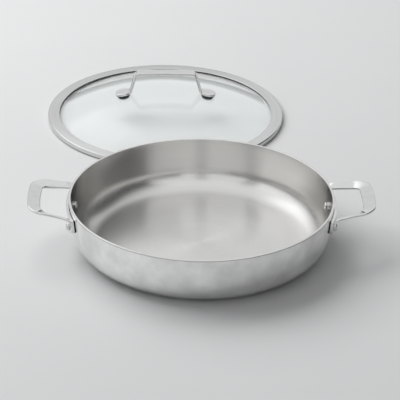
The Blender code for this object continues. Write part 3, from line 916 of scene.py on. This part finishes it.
@dataclass
class LoopHandle:
    """A cast loop handle: a plate bent to the wall, and a strap that runs out from its top and back."""

    pan: PanBody
    gap: float = 0.3 * MM
    plate_thickness: float = 3.5 * MM
    plate_half_length: float = 49.0 * MM
    foot_half_length: float = 25.0 * MM
    plate_drop: float = 8.0 * MM
    plate_height: float = 27.5 * MM
    plate_end_height: float = 15.5 * MM
    top_radius: float = 2.0 * MM
    end_radius: float = 5.0 * MM
    foot_radius: float = 14.0 * MM
    reach: float = 47.8 * MM
    grip_width: float = 15.4 * MM
    leg_width: float = 9.6 * MM
    thickness: float = 3.2 * MM
    root_thickness: float = 2.6 * MM
    edge_radius: float = 1.2 * MM
    plate_edge: float = 0.7 * MM
    end_relief: float = 0.7 * MM
    relief_length: float = 4.0 * MM
    grip_half_length: float = 35.2 * MM
    grip_bow: float = 1.6 * MM
    grip_drop: float = 1.75 * MM
    root_depth: float = 10.0 * MM
    bend_radius: float = 6.5 * MM
    corner_radius: float = 16.0 * MM
    bow_radius: float = 150.0 * MM
    leg_dish: float = math.radians(34.0)
    grip_dish: float = math.radians(16.0)
    root_share: float = 0.2
    spacing: float = 1.6 * MM

    def plate_ring(self) -> Piece:
        """Build a ring as thick as the plate, round the pan's wall.

        Returns:
            The ring.
        """
        top = self.pan.height
        bottom = top - self.plate_drop - self.plate_height - self.plate_thickness
        slant = math.cos(self.pan.wall_lean)
        inner, outer = self.gap / slant, (self.gap + self.plate_thickness) / slant
        low, high = self.pan.wall_radius(bottom), self.pan.wall_radius(top)
        lower = [(low + inner, bottom), (low + outer, bottom)]
        return turn("plate", [*lower, (high + outer, top), (high + inner, top)])

    def plate_outline(self) -> Piece:
        """Build the plate's outline as a block: a rectangle, its foot drawn down, its corners rounded.

        Returns:
            The block.
        """
        top = self.pan.height - self.plate_drop
        end = top - self.plate_end_height
        foot = top - self.plate_height
        start_clean()
        middle = (self.pan.rim_radius / 2, 0.0, (top + end) / 2)
        bpy.ops.mesh.primitive_plane_add(size=1.0, location=middle, rotation=(0.0, QUARTER, 0.0))
        block = named(bpy.context.active_object, "plate_outline")
        block.scale = (self.plate_end_height, 2 * self.plate_half_length, 1.0)
        share = self.foot_half_length / self.plate_half_length
        slope = math.atan2(self.plate_half_length - self.foot_half_length, end - foot)
        with editing(settle(block)):
            pick(block, lambda spot: spot.z < (top + end) / 2)
            bpy.ops.mesh.extrude_edges_move(TRANSFORM_OT_translate={"value": (0, 0, foot - end)})
            bpy.ops.transform.resize(value=(1, share, 1), center_override=(middle[0], 0, foot))
            bpy.ops.mesh.select_all(action="SELECT")
            bpy.ops.mesh.dissolve_limited(angle_limit=FLAT_ANGLE)
            for height, bend, radius in (
                (top, QUARTER, self.top_radius),
                (end, slope, self.end_radius),
                (foot, QUARTER - slope, self.foot_radius),
            ):
                pick(block, lambda spot: abs(spot.z - height) < MERGE)
                offset = radius * math.tan(bend / 2)
                bpy.ops.mesh.bevel(offset=offset, segments=CORNER_STEPS, affect="VERTICES")
            bpy.ops.mesh.select_all(action="SELECT")
            bpy.ops.mesh.extrude_region_move(TRANSFORM_OT_translate={"value": (self.pan.rim_radius, 0, 0)})
        close_up(block)
        return block

    def corners(self) -> tuple[Vector, Vector, Vector, Vector]:
        """Work out the corners of the strap's path.

        Returns:
            The path's start in the plate, its bend, the grip's back corner and the grip's middle.
        """
        top = self.pan.height - self.plate_drop
        radius = self.pan.wall_radius(top) + self.gap + self.plate_thickness / 2
        across = self.plate_half_length - self.leg_width / 2
        bend = Vector((math.sqrt(radius**2 - across**2), across, top - self.thickness / 2))
        inward = Vector((-bend.x, -across, 0.0)).normalized()
        start = bend + (inward * math.tan(self.pan.wall_lean) - UP) * self.root_depth
        grip = self.pan.rim_radius + self.reach - self.grip_width / 2
        height = self.pan.height - self.grip_drop
        corner = Vector((grip - self.grip_bow, self.grip_half_length, height))
        return start, bend, corner, Vector((grip, 0, height))

    def half_path(self) -> list[Vector]:
        """Work out the path from the back root to the middle of the grip.

        Returns:
            Its points.
        """
        start, bend, corner, middle = self.corners()
        radii = [self.bend_radius, self.corner_radius, self.bow_radius]
        path = filleted([start, bend, corner, middle, mirrored(corner)], radii, self.spacing)
        half = [spot for spot in path if spot.y > self.spacing / 4]
        return [*half, Vector((max(spot.x for spot in path), 0.0, middle.z))]

    def half_stations(self) -> list[Station]:
        """Work out the strap's stations from its back root to the middle of the grip.

        Returns:
            The stations.
        """
        _, bend, corner, middle = self.corners()
        half = self.half_path()
        wall_bearing = math.atan2(bend.y, bend.x)
        leg_bearing = math.atan2(corner.y - bend.y, corner.x - bend.x)
        stations = []
        for spot, heading in zip(half, [*headings(half)[:-1], Vector((0.0, -1.0, 0.0))]):
            out = (spot.x - bend.x) / (middle.x - bend.x)
            thicken = smooth_step(out / self.root_share)
            widen = smooth_step((out - self.root_share) / (1.0 - self.root_share))
            bearing = math.atan2(heading.y, heading.x)
            if out < self.root_share:
                bearing = wall_bearing + (leg_bearing - wall_bearing) * thicken
            level = Vector((-math.sin(bearing), math.cos(bearing), 0.0))
            side = (level - heading * level.dot(heading)).normalized()
            dish = self.leg_dish * thicken + (self.grip_dish - self.leg_dish) * widen
            tilt = Matrix.Rotation(dish, 3, heading)
            width = self.leg_width + (self.grip_width - self.leg_width) * widen
            thickness = self.root_thickness + (self.thickness - self.root_thickness) * thicken
            stations.append(Station(spot, tilt @ side, tilt @ side.cross(heading), width, thickness))
        return stations

    def wall_block(self) -> Piece:
        """Build a body with the pan's outer shape and the gap that the handle keeps to it.

        Returns:
            The body.
        """
        top = self.pan.height + self.grip_width
        slant = self.gap / math.cos(self.pan.wall_lean)
        low, high = self.pan.wall_radius(0.0) + slant, self.pan.wall_radius(top) + slant
        return turn("wall_block", [(0.0, 0.0), (low, 0.0), (high, top), (0.0, top)])

    def relieve_ends(self, plate: Piece) -> None:
        """Take the plate's inner face off the pan at both ends, where the casting springs away from it.

        Args:
            plate: The plate.
        """
        middle = self.gap + self.plate_thickness / 2
        start = self.plate_half_length - self.relief_length
        with editing(plate):
            pick(plate, lambda spot: (
                abs(spot.y) > start and spot.xy.length < self.pan.wall_radius(spot.z) + middle
            ))
            bpy.ops.transform.translate(value=(self.end_relief, 0, 0))

    def right(self) -> Piece:
        """Build the right handle as one casting.

        Returns:
            The handle.
        """
        plate = self.plate_ring()
        combine(plate, self.plate_outline(), Join.KEEP_COMMON)
        self.relieve_ends(plate)
        ease_edges(plate, self.plate_edge)
        back = self.half_stations()
        front = [one.mirrored() for one in back[-2::-1]]
        handle = draw_out("loop", [*back, *front], self.edge_radius)
        combine(handle, self.wall_block(), Join.CUT)
        combine(handle, plate, Join.ADD)
        return smooth(named(handle, "loop_handle_right"))

    def build(self) -> None:
        """Build the right handle and its copy on the left."""
        steel = PolishedSteel("handle_steel_polished", roughness=0.05, roughness_spread=0.02).make()
        right = self.right()
        left = copy_to(right, "loop_handle_left", Matrix.Rotation(math.pi, 4, "Z"))
        finish_piece(right, steel, Body.PAN, "handle_steel", "right_handle")
        finish_piece(left, steel, Body.PAN, "handle_steel", "left_handle")


@dataclass
class Rivets:
    """Four rivets with crowned heads, two through each handle."""

    pan: PanBody
    handle: LoopHandle
    spacing: float = 52.0 * MM
    drop: float = 26.0 * MM
    shank_radius: float = 2.6 * MM
    head_radius: float = 5.2 * MM
    head_height: float = 3.3 * MM
    inner_radius: float = 4.5 * MM
    inner_height: float = 2.2 * MM
    head_gap: float = 0.3 * MM

    def section(self) -> Section:
        """Work out the rivet's section.

        Returns:
            Its points, from the outer head to the inner one.
        """
        outer_base = self.handle.gap + self.handle.plate_thickness + self.head_gap
        inner_base = -(self.pan.thickness() + self.head_gap)
        outer = crown(self.head_radius, self.head_height, outer_base)[::-1]
        inner = crown(self.inner_radius, -self.inner_height, inner_base)
        return [*outer, (self.shank_radius, outer_base), (self.shank_radius, inner_base), *inner]

    def frame(self, side: int, end: int) -> Matrix:
        """Work out a rivet's frame.

        Args:
            side: 1 on the right and -1 on the left.
            end: 1 at the back and -1 at the front.

        Returns:
            The frame, with its origin on the pan's outer surface and Z out of the wall.
        """
        height = self.pan.height - self.drop
        radius = self.pan.wall_radius(height)
        bearing = math.asin(self.spacing / 2 / radius) * end * side + (math.pi if side < 0 else 0.0)
        spot = Matrix.Rotation(bearing, 4, "Z") @ Matrix.Translation((radius, 0.0, height))
        return spot @ Matrix.Rotation(QUARTER + self.pan.wall_lean, 4, "Y")

    def build(self) -> None:
        """Build one rivet and place its four copies."""
        steel = PolishedSteel("rivet_steel_polished", roughness=0.06).make()
        pattern = turn("rivet", self.section(), SMALL_TURN)
        for side, side_name in SIDES:
            for end, end_name in ENDS:
                where = f"{side_name}_{end_name}"
                rivet = copy_to(pattern, f"pan_rivet_{where}", self.frame(side, end))
                finish_piece(rivet, steel, Body.PAN, "rivet_steel", f"rivet_{where}")
        bpy.data.objects.remove(pattern)


# Lid


@dataclass
class LidEdge:
    """The lid's pane, the steel band over its edge, the ring under it and the silicone between."""

    pan: PanBody
    centre: Vector = field(default_factory=lambda: Vector((-40.0 * MM, 356.5 * MM, 0.0)))
    sheet: float = 0.8 * MM
    gap: float = 0.2 * MM
    band_width: float = 15.0 * MM
    band_rings: tuple[float, ...] = (0.25, 0.5, 0.7)
    lip_clearance: float = 1.2 * MM
    lip_ground_gap: float = 1.2 * MM
    inner_edge: float = 0.5 * MM
    corner_radius: float = 2.0 * MM
    skirt_clearance: float = 0.8 * MM
    fold_width: float = 6.0 * MM
    fold_steps: int = 6
    gasket_wall: float = 0.6 * MM
    gasket_leg: float = 0.5 * MM
    gasket_setback: float = 0.8 * MM
    glass_thickness: float = 3.6 * MM
    glass_edge: float = 0.8 * MM
    glass_edge_steps: int = 3
    dome_rise: float = 30.5 * MM
    dome_setback: float = 1.0 * MM
    dome_steps: int = 28
    bore_radius: float = 5.2 * MM
    foot_spread: float = 56.0 * MM

    def __post_init__(self) -> None:
        """Work out the heights and radii that the pieces share."""
        self.gasket_bottom = self.sheet + self.gap
        self.edge_bottom = self.gasket_bottom + self.gasket_leg + self.gap
        self.edge_top = self.edge_bottom + self.glass_thickness
        self.gasket_top = self.edge_top + self.gap + self.gasket_leg
        self.flange_bottom = self.gasket_top + self.gap
        self.flange_top = self.flange_bottom + self.sheet
        self.lip_inner = self.pan.rim_radius + self.lip_clearance
        self.lip_outer = self.lip_inner + self.sheet
        self.band_inner = self.lip_outer - self.band_width
        opening = self.pan.wall_radius(self.pan.height - self.flange_bottom)
        opening -= self.pan.thickness() / math.cos(self.pan.wall_lean)
        self.skirt_radius = opening - self.skirt_clearance
        self.glass_radius = self.skirt_radius - self.sheet - 2 * self.gap - self.gasket_wall
        rim = self.band_inner - self.dome_setback
        self.dome_radius = (rim**2 + self.dome_rise**2) / (2 * self.dome_rise)
        self.dome_centre = self.edge_top + self.dome_rise - self.dome_radius

    def band(self) -> Piece:
        """Build the band: a flat flange with its outer edge turned down.

        Returns:
            The band.
        """
        centre = (self.lip_outer - self.corner_radius, self.flange_top - self.corner_radius)
        edge = self.inner_edge
        return turn("lid_band_steel", [
            (self.band_inner, self.flange_bottom),
            *arc((self.band_inner + edge, self.flange_top - edge), edge, math.pi, QUARTER, EDGE_STEPS),
            *((self.band_inner + self.band_width * share, self.flange_top) for share in self.band_rings),
            *arc(centre, self.corner_radius, QUARTER, 0.0, CORNER_STEPS),
            (self.lip_outer, self.lip_ground_gap),
            (self.lip_inner, self.lip_ground_gap),
            *arc(centre, self.corner_radius - self.sheet, 0.0, QUARTER, self.fold_steps),
        ])

    def retainer(self) -> Piece:
        """Build the ring under the glass: a skirt with its lower edge folded in.

        Returns:
            The ring.
        """
        inner = self.skirt_radius - self.sheet
        fold_edge = inner - self.fold_width
        return turn("lid_retainer_steel", [
            (fold_edge, 0.0),
            *arc((inner, self.sheet), self.sheet, -QUARTER, 0.0, self.fold_steps),
            (self.skirt_radius, self.gasket_top),
            (inner, self.gasket_top),
            (inner, self.sheet),
            (fold_edge, self.sheet),
        ])

    def gasket(self) -> Piece:
        """Build the silicone channel round the glass.

        Returns:
            The channel.
        """
        channel = self.glass_radius + self.gap
        outer = channel + self.gasket_wall
        edge = self.band_inner + self.gasket_setback
        bottom, top, leg = self.gasket_bottom, self.gasket_top, self.gasket_leg
        return turn("lid_gasket_silicone", [
            (edge, top), (outer, top), (outer, bottom), (edge, bottom),
            (edge, bottom + leg), (channel, bottom + leg), (channel, top - leg), (edge, top - leg),
        ])

    def pane(self) -> Piece:
        """Build the domed pane with its two bores.

        Returns:
            The pane.
        """
        centre = (0.0, self.dome_centre)
        inner_radius = self.dome_radius - self.glass_thickness
        outer_end = math.asin((self.edge_top - self.dome_centre) / self.dome_radius)
        inner_end = math.asin((self.edge_bottom - self.dome_centre) / inner_radius)
        upper = arc(centre, self.dome_radius, QUARTER, outer_end, self.dome_steps)
        lower = arc(centre, inner_radius, inner_end, QUARTER, self.dome_steps)
        upper[0] = (0.0, upper[0][1])
        lower[-1] = (0.0, lower[-1][1])
        edge, steps = self.glass_edge, self.glass_edge_steps
        rim = [
            *arc((self.glass_radius - edge, self.edge_top - edge), edge, QUARTER, 0.0, steps),
            *arc((self.glass_radius - edge, self.edge_bottom + edge), edge, 0.0, -QUARTER, steps),
        ]
        pane = turn("lid_pane_glass", upper + rim + lower)
        reach = 3 * self.glass_thickness
        for side, _ in SIDES:
            bore = turn("bore", plug(self.bore_radius, -reach, reach), SMALL_TURN)
            combine(pane, place(bore, self.foot_frame(side)), Join.CUT)
        return smooth(pane)

    def foot_frame(self, side: int) -> Matrix:
        """Work out a foot's frame on the glass.

        Args:
            side: 1 on the right and -1 on the left.

        Returns:
            The frame, with Z out of the dome.
        """
        lean = math.asin(self.foot_spread / self.dome_radius)
        height = self.dome_centre + self.dome_radius * math.cos(lean)
        spot = Matrix.Translation((side * self.foot_spread, 0.0, height))
        return spot @ Matrix.Rotation(side * lean, 4, "Y")

    def build(self) -> None:
        """Build, place and dress the four pieces."""
        where = Matrix.Translation(self.centre)
        band_steel = BrushedSteel(
            "band_steel_circular_brushed", self.centre, colour=(0.69, 0.69, 0.685), colour_spread=0.05,
            roughness=0.22, roughness_spread=0.04, brushing=0.88, cone=0.1, line_pitch=1.6 * MM,
            line_turn=2.0, line_depth=0.0008 * MM,
        )
        ring_steel = BrushedSteel(
            "retainer_steel_satin", self.centre, colour=(0.6, 0.6, 0.58), colour_spread=0.03, roughness=0.3,
            roughness_spread=0.05, brushing=0.4,
        )
        glass = ClearGlass("lid_glass_clear_tempered", self.centre)
        silicone = Silicone("gasket_silicone_matt")
        for piece, finish, slot, node in (
            (self.band(), band_steel, "band_steel", "lid_band"),
            (self.retainer(), ring_steel, "retainer_steel", "band_retainer"),
            (self.gasket(), silicone, "silicone", "band_gasket"),
            (self.pane(), glass, "lid_glass", "lid_glass"),
        ):
            finish_piece(place(piece, where), finish.make(), Body.LID, slot, node)


@dataclass
class LidHandle:
    """The lid's arched strap handle with its two round feet."""

    lid: LidEdge
    foot_radius: float = 10.5 * MM
    foot_edge: float = 0.8 * MM
    foot_cover: float = 0.1 * MM
    foot_ease: float = 4.0 * MM
    strap_width: float = 14.0 * MM
    strap_thickness: float = 3.0 * MM
    strap_edge: float = 0.8 * MM
    bar_half_length: float = 39.0 * MM
    bar_clearance: float = 25.5 * MM
    bar_crown: float = 0.95 * MM
    bend_radius: float = 5.0 * MM
    crown_radius: float = 90.0 * MM
    ankle_bend: float = 3.5 * MM
    ankle_setback: float = 10.0 * MM
    spacing: float = 1.5 * MM
    seal_gap: float = 0.3 * MM
    seal_thickness: float = 1.1 * MM
    boss_radius: float = 3.2 * MM
    boss_reach: float = 1.6 * MM
    boss_ease: float = 0.3 * MM

    def disc_bottom(self) -> float:
        """Return the height of a foot's underside over the glass."""
        return self.seal_gap + self.seal_thickness + self.seal_gap

    def foot_section(self) -> Section:
        """Work out the section of a foot, with the boss under it that goes down through the glass.

        Returns:
            Its points.
        """
        bottom, ease = self.disc_bottom(), self.boss_ease
        low = -self.lid.glass_thickness - self.boss_reach
        boss = arc((self.boss_radius - ease, low + ease), ease, -QUARTER, 0.0, EDGE_STEPS)
        disc = eased_disc(self.foot_radius, bottom, bottom + self.strap_thickness, self.foot_edge)
        return [(0.0, low), *boss, (self.boss_radius, bottom), *disc[1:]]

    def stations(self) -> list[Station]:
        """Work out the strap's stations; over a foot, the strap is a little thinner than the foot.

        Returns:
            The stations, from inside the left foot to inside the right one.
        """
        bar = self.lid.edge_top + self.lid.dome_rise + self.bar_clearance + self.strap_thickness / 2
        on_glass = self.lid.foot_frame(1)
        foot = on_glass @ Vector((0.0, 0.0, self.disc_bottom() + self.strap_thickness / 2))
        ankle = foot + on_glass.to_3x3() @ Vector((-1.0, 0.0, 0.0)) * self.ankle_setback
        shoulder = Vector((self.bar_half_length, 0.0, bar))
        top = Vector((0.0, 0.0, bar + self.bar_crown))
        left = [Vector((-spot.x, 0.0, spot.z)) for spot in (foot, ankle, shoulder)]
        radii = [self.ankle_bend, self.bend_radius, self.crown_radius, self.bend_radius, self.ankle_bend]
        path = filleted([*left, top, shoulder, ankle, foot], radii, self.spacing)
        across = Vector((0.0, 1.0, 0.0))
        stations = []
        for spot, heading in zip(path, headings(path)):
            distance = (foot - Vector((abs(spot.x), 0.0, spot.z))).length
            free = smooth_step((distance - self.foot_radius) / self.foot_ease)
            thickness = self.strap_thickness - self.foot_cover * (1.0 - free)
            stations.append(Station(spot, across, across.cross(heading), self.strap_width, thickness))
        return stations

    def build(self) -> None:
        """Build and dress the handle."""
        handle = draw_out("lid_handle_strap", self.stations(), self.strap_edge)
        for side, _ in SIDES:
            foot = turn("foot", self.foot_section(), SMALL_TURN)
            combine(handle, place(foot, self.lid.foot_frame(side)), Join.ADD)
        smooth(place(handle, Matrix.Translation(self.lid.centre)))
        steel = PolishedSteel("lid_handle_steel_polished", roughness=0.1)
        finish_piece(handle, steel.make(), Body.LID, "lid_handle_steel", "lid_handle")


@dataclass
class FootFastening:
    """The seals, bush, washer and screw under each foot of the lid's handle."""

    lid: LidEdge
    handle: LidHandle
    bore_gap: float = 0.2 * MM
    head_gap: float = 0.4 * MM
    edge: float = 0.3 * MM
    bush_edge: float = 0.2 * MM
    seal_radius: float = 9.8 * MM
    lower_thickness: float = 1.2 * MM
    lower_radius: float = 7.5 * MM
    washer_thickness: float = 1.0 * MM
    washer_radius: float = 7.0 * MM
    screw_radius: float = 2.0 * MM
    screw_head_radius: float = 4.2 * MM
    screw_head_height: float = 2.6 * MM
    socket_radius: float = 1.7 * MM
    socket_depth: float = 1.6 * MM
    socket_run: float = 1.0 * MM
    socket_sides: int = 6

    def __post_init__(self) -> None:
        """Work out the heights, from the glass down."""
        self.lower_top = -(self.lid.glass_thickness + self.head_gap)
        self.washer_top = self.lower_top - self.lower_thickness - self.handle.seal_gap
        self.head_top = self.washer_top - self.washer_thickness - self.handle.seal_gap

    def screw(self) -> Piece:
        """Build a screw with a crowned head and a six-sided socket.

        Returns:
            The screw.
        """
        top, low = self.handle.disc_bottom(), self.head_top - self.screw_head_height
        head = crown(self.screw_head_radius, -self.screw_head_height, self.head_top)
        shank = [(0.0, top), (self.screw_radius, top), (self.screw_radius, self.head_top)]
        screw = turn("screw", [*shank, *head], SMALL_TURN)
        hole = plug(self.socket_radius, low - self.socket_run, low + self.socket_depth)
        combine(screw, turn("socket", hole, self.socket_sides), Join.CUT)
        return smooth(screw)

    def patterns(self) -> dict[str, Piece]:
        """Build one of each piece, standing at the origin.

        Returns:
            The pieces by name, from the top down.
        """
        bore, shank = self.handle.boss_radius + self.bore_gap, self.screw_radius + self.bore_gap
        gap, lower, washer = self.handle.seal_gap, self.lower_top, self.washer_top
        bush = self.lid.bore_radius - self.bore_gap
        discs = {
            "foot_seal": (self.seal_radius, gap, gap + self.handle.seal_thickness, self.edge, bore),
            "glass_bush": (bush, -self.lid.glass_thickness, 0.0, self.bush_edge, bore),
            "lower_seal": (self.lower_radius, lower - self.lower_thickness, lower, self.edge, bore),
            "cup_washer": (self.washer_radius, washer - self.washer_thickness, washer, self.edge, shank),
        }
        patterns = {name: turn(name, eased_disc(*sizes), SMALL_TURN) for name, sizes in discs.items()}
        return {**patterns, "lid_screw": self.screw()}

    def build(self) -> None:
        """Place and dress a copy of each pattern under each foot."""
        silicone = ("silicone", Silicone("seal_silicone_matt").make())
        fastener = PolishedSteel("fastener_steel_plain", roughness=0.28, colour=(0.6, 0.6, 0.58))
        steel = ("fastener_steel", fastener.make())
        for name, pattern in self.patterns().items():
            slot, material = steel if name in ("cup_washer", "lid_screw") else silicone
            for side, side_name in SIDES:
                where = Matrix.Translation(self.lid.centre) @ self.lid.foot_frame(side)
                piece = copy_to(pattern, f"{name}_{side_name}_fitted", where)
                finish_piece(piece, material, Body.LID, slot, f"{name}_{side_name}")
            bpy.data.objects.remove(pattern)


# Room


@dataclass(frozen=True)
class Patch:
    """A soft-edged part of the room that is brighter or darker than the rest.

    All but the level are degrees: bearings turn from +X to +Y, heights are above the worktop.
    """

    bearing: float
    spread: float
    low: float
    high: float
    level: float
    side_blur: float = 10.0
    edge_blur: float = 10.0

    def level_aim(self) -> Vector:
        """Return the level direction of its middle."""
        bearing = math.radians(self.bearing)
        return Vector((math.cos(bearing), math.sin(bearing), 0.0))

    def aim(self) -> Vector:
        """Return the direction of its middle."""
        height = math.radians((self.low + self.high) / 2)
        return self.level_aim() * math.cos(height) + UP * math.sin(height)


# Each patch: bearing, spread, low, high, level, side blur, edge blur.
WINDOW = Patch(138.0, 20.0, 33.0, 54.0, 0.5, 18.0)
ROOM = (
    WINDOW,
    Patch(176.0, 30.0, 10.0, 42.0, 0.15, 16.0, 14.0),
    Patch(2.0, 34.0, -10.0, 38.0, -0.86, 12.0, 12.0),
    Patch(-2.0, 32.0, 34.0, 54.0, -0.3, 18.0, 14.0),
    Patch(-50.0, 18.0, -10.0, 17.0, -0.65, 8.0, 8.0),
    Patch(-91.0, 40.0, 22.0, 36.0, -0.08, 12.0),
    Patch(-91.0, 3.0, 0.0, 40.0, -0.3, 4.0),
    Patch(-140.0, 4.0, 0.0, 40.0, -0.4, 5.0),
    Patch(-90.0, 75.0, -10.0, 6.0, -0.78, 20.0, 5.0),
    Patch(85.0, 80.0, -9.0, 5.0, -0.68, 20.0, 5.0),
    Patch(85.0, 30.0, 16.0, 27.0, -0.1, 20.0, 6.0),
)


@dataclass
class Studio:
    """The plain worktop, the soft light over it and the camera."""

    floor_size: float = 8.0
    room_colour: Colour = (0.985, 0.99, 1.0)
    room_level: float = 0.9
    darkest: float = 0.08
    room_share: float = 0.45
    lamp_size: tuple[float, float] = (2.7, 2.3)
    lamp_distance: float = 2.4
    lamp_height: float = 2.0
    lamp_level: float = 3.12
    camera_place: Vector = field(default_factory=lambda: Vector((-0.0578, -2.0031, 1.0989)))
    camera_yaw: float = math.radians(1.6)
    camera_pitch: float = math.radians(27.443)
    camera_roll: float = math.radians(0.893)
    camera_lens: float = 174.3
    camera_sensor: float = 36.0

    def worktop(self) -> None:
        """Lay a plain pale worktop under the pan."""
        start_clean()
        bpy.ops.mesh.primitive_plane_add(size=self.floor_size)
        floor = named(bpy.context.active_object, "worktop")
        floor.data.materials.append(PaleTop("worktop_pale").make())

    def sky(self) -> None:
        """Light the room by its patches, more strongly where it is seen than where it lights."""
        world = bpy.data.worlds.new("soft_room")
        bpy.context.scene.world = world
        world.use_nodes = True
        desk = NodeDesk(world.node_tree)
        direction = desk.add("TexCoord").outputs["Generated"]
        light: Socket | float = self.room_level
        for patch in ROOM:
            light = desk.number("ADD", light, self.patch_light(desk, direction, patch))
        light = desk.number("MAXIMUM", light, self.darkest)
        path = desk.add("LightPath").outputs
        shown = desk.number("ADD", path["Is Camera Ray"], path["Is Glossy Ray"])
        shown = desk.number("ADD", shown, path["Is Transmission Ray"])
        share = desk.number("MULTIPLY", shown, 1.0 - self.room_share)
        share = desk.number("MINIMUM", desk.number("ADD", share, self.room_share), 1.0)
        strength = desk.number("MULTIPLY", light, share)
        background = world.node_tree.nodes["Background"]
        desk.fill(background, {"Color": (*self.room_colour, 1.0), "Strength": strength})

    def patch_light(self, desk: NodeDesk, direction: Socket, patch: Patch) -> Socket:
        """Work out the light that one patch adds or takes.

        Args:
            desk: The world's nodes.
            direction: Where the ray looks.
            patch: The patch.

        Returns:
            The light.
        """
        level = desk.vector("NORMALIZE", desk.vector("MULTIPLY", direction, LEVEL))
        side = desk.vector("DOT_PRODUCT", level, patch.level_aim())
        rise = desk.height(direction)
        across = self.edge(desk, side, math.cos, patch.spread + patch.side_blur, patch.spread)
        under = self.edge(desk, rise, math.sin, patch.low - patch.edge_blur, patch.low)
        over = self.edge(desk, rise, math.sin, patch.high + patch.edge_blur, patch.high)
        tall = desk.number("MULTIPLY", under, over)
        return desk.number("MULTIPLY", desk.number("MULTIPLY", across, patch.level), tall)

    def edge(
        self, desk: NodeDesk, value: Socket, wave: Callable[[float], float], outside: float, inside: float
    ) -> Socket:
        """Return a soft edge, 0 at the outside angle and 1 at the inside one, by a sine or cosine."""
        return desk.ramp(value, wave(math.radians(outside)), wave(math.radians(inside)))

    def lamp(self) -> None:
        """Hang the soft window light that casts the shadows."""
        light = bpy.data.lights.new("window_light", "AREA")
        light.shape = "RECTANGLE"
        light.size, light.size_y = self.lamp_size
        light.energy = self.lamp_level * math.pi * self.lamp_size[0] * self.lamp_size[1]
        lamp = bpy.data.objects.new("window_light", light)
        lamp.location = WINDOW.aim() * self.lamp_distance
        lamp.location.z = self.lamp_height
        lamp.rotation_euler = (-lamp.location).to_track_quat("-Z", "Y").to_euler()
        lamp.visible_camera = lamp.visible_glossy = lamp.visible_transmission = False
        bpy.context.scene.collection.objects.link(lamp)

    def camera(self) -> None:
        """Set the camera where the photograph was taken from."""
        yaw, pitch, roll = self.camera_yaw, self.camera_pitch, self.camera_roll
        level = Vector((math.sin(yaw), math.cos(yaw), 0.0))
        forward = level * math.cos(pitch) - UP * math.sin(pitch)
        right = Vector((math.cos(yaw), -math.sin(yaw), 0.0))
        up = right.cross(forward)
        rolled = (right * math.cos(roll) + up * math.sin(roll), up * math.cos(roll) - right * math.sin(roll))
        data = bpy.data.cameras.new("camera")
        data.lens = self.camera_lens
        data.sensor_width = self.camera_sensor
        camera = bpy.data.objects.new("camera", data)
        axes = Matrix((*rolled, -forward)).transposed().to_4x4()
        camera.matrix_world = Matrix.Translation(self.camera_place) @ axes
        bpy.context.scene.collection.objects.link(camera)
        bpy.context.scene.camera = camera

    def build(self) -> None:
        """Set up the whole room."""
        bpy.context.scene.view_settings.view_transform = "Standard"
        self.worktop()
        self.sky()
        self.lamp()
        self.camera()


def main() -> None:
    """Build the room, the pan and the lid, in order."""
    logging.basicConfig(level=logging.INFO, format="%(name)s: %(message)s")
    Studio().build()
    pan = PanBody()
    pan.build()
    loop = LoopHandle(pan)
    loop.build()
    Rivets(pan, loop).build()
    lid = LidEdge(pan)
    lid.build()
    handle = LidHandle(lid)
    handle.build()
    FootFastening(lid, handle).build()


if __name__ == "__main__":
    main()
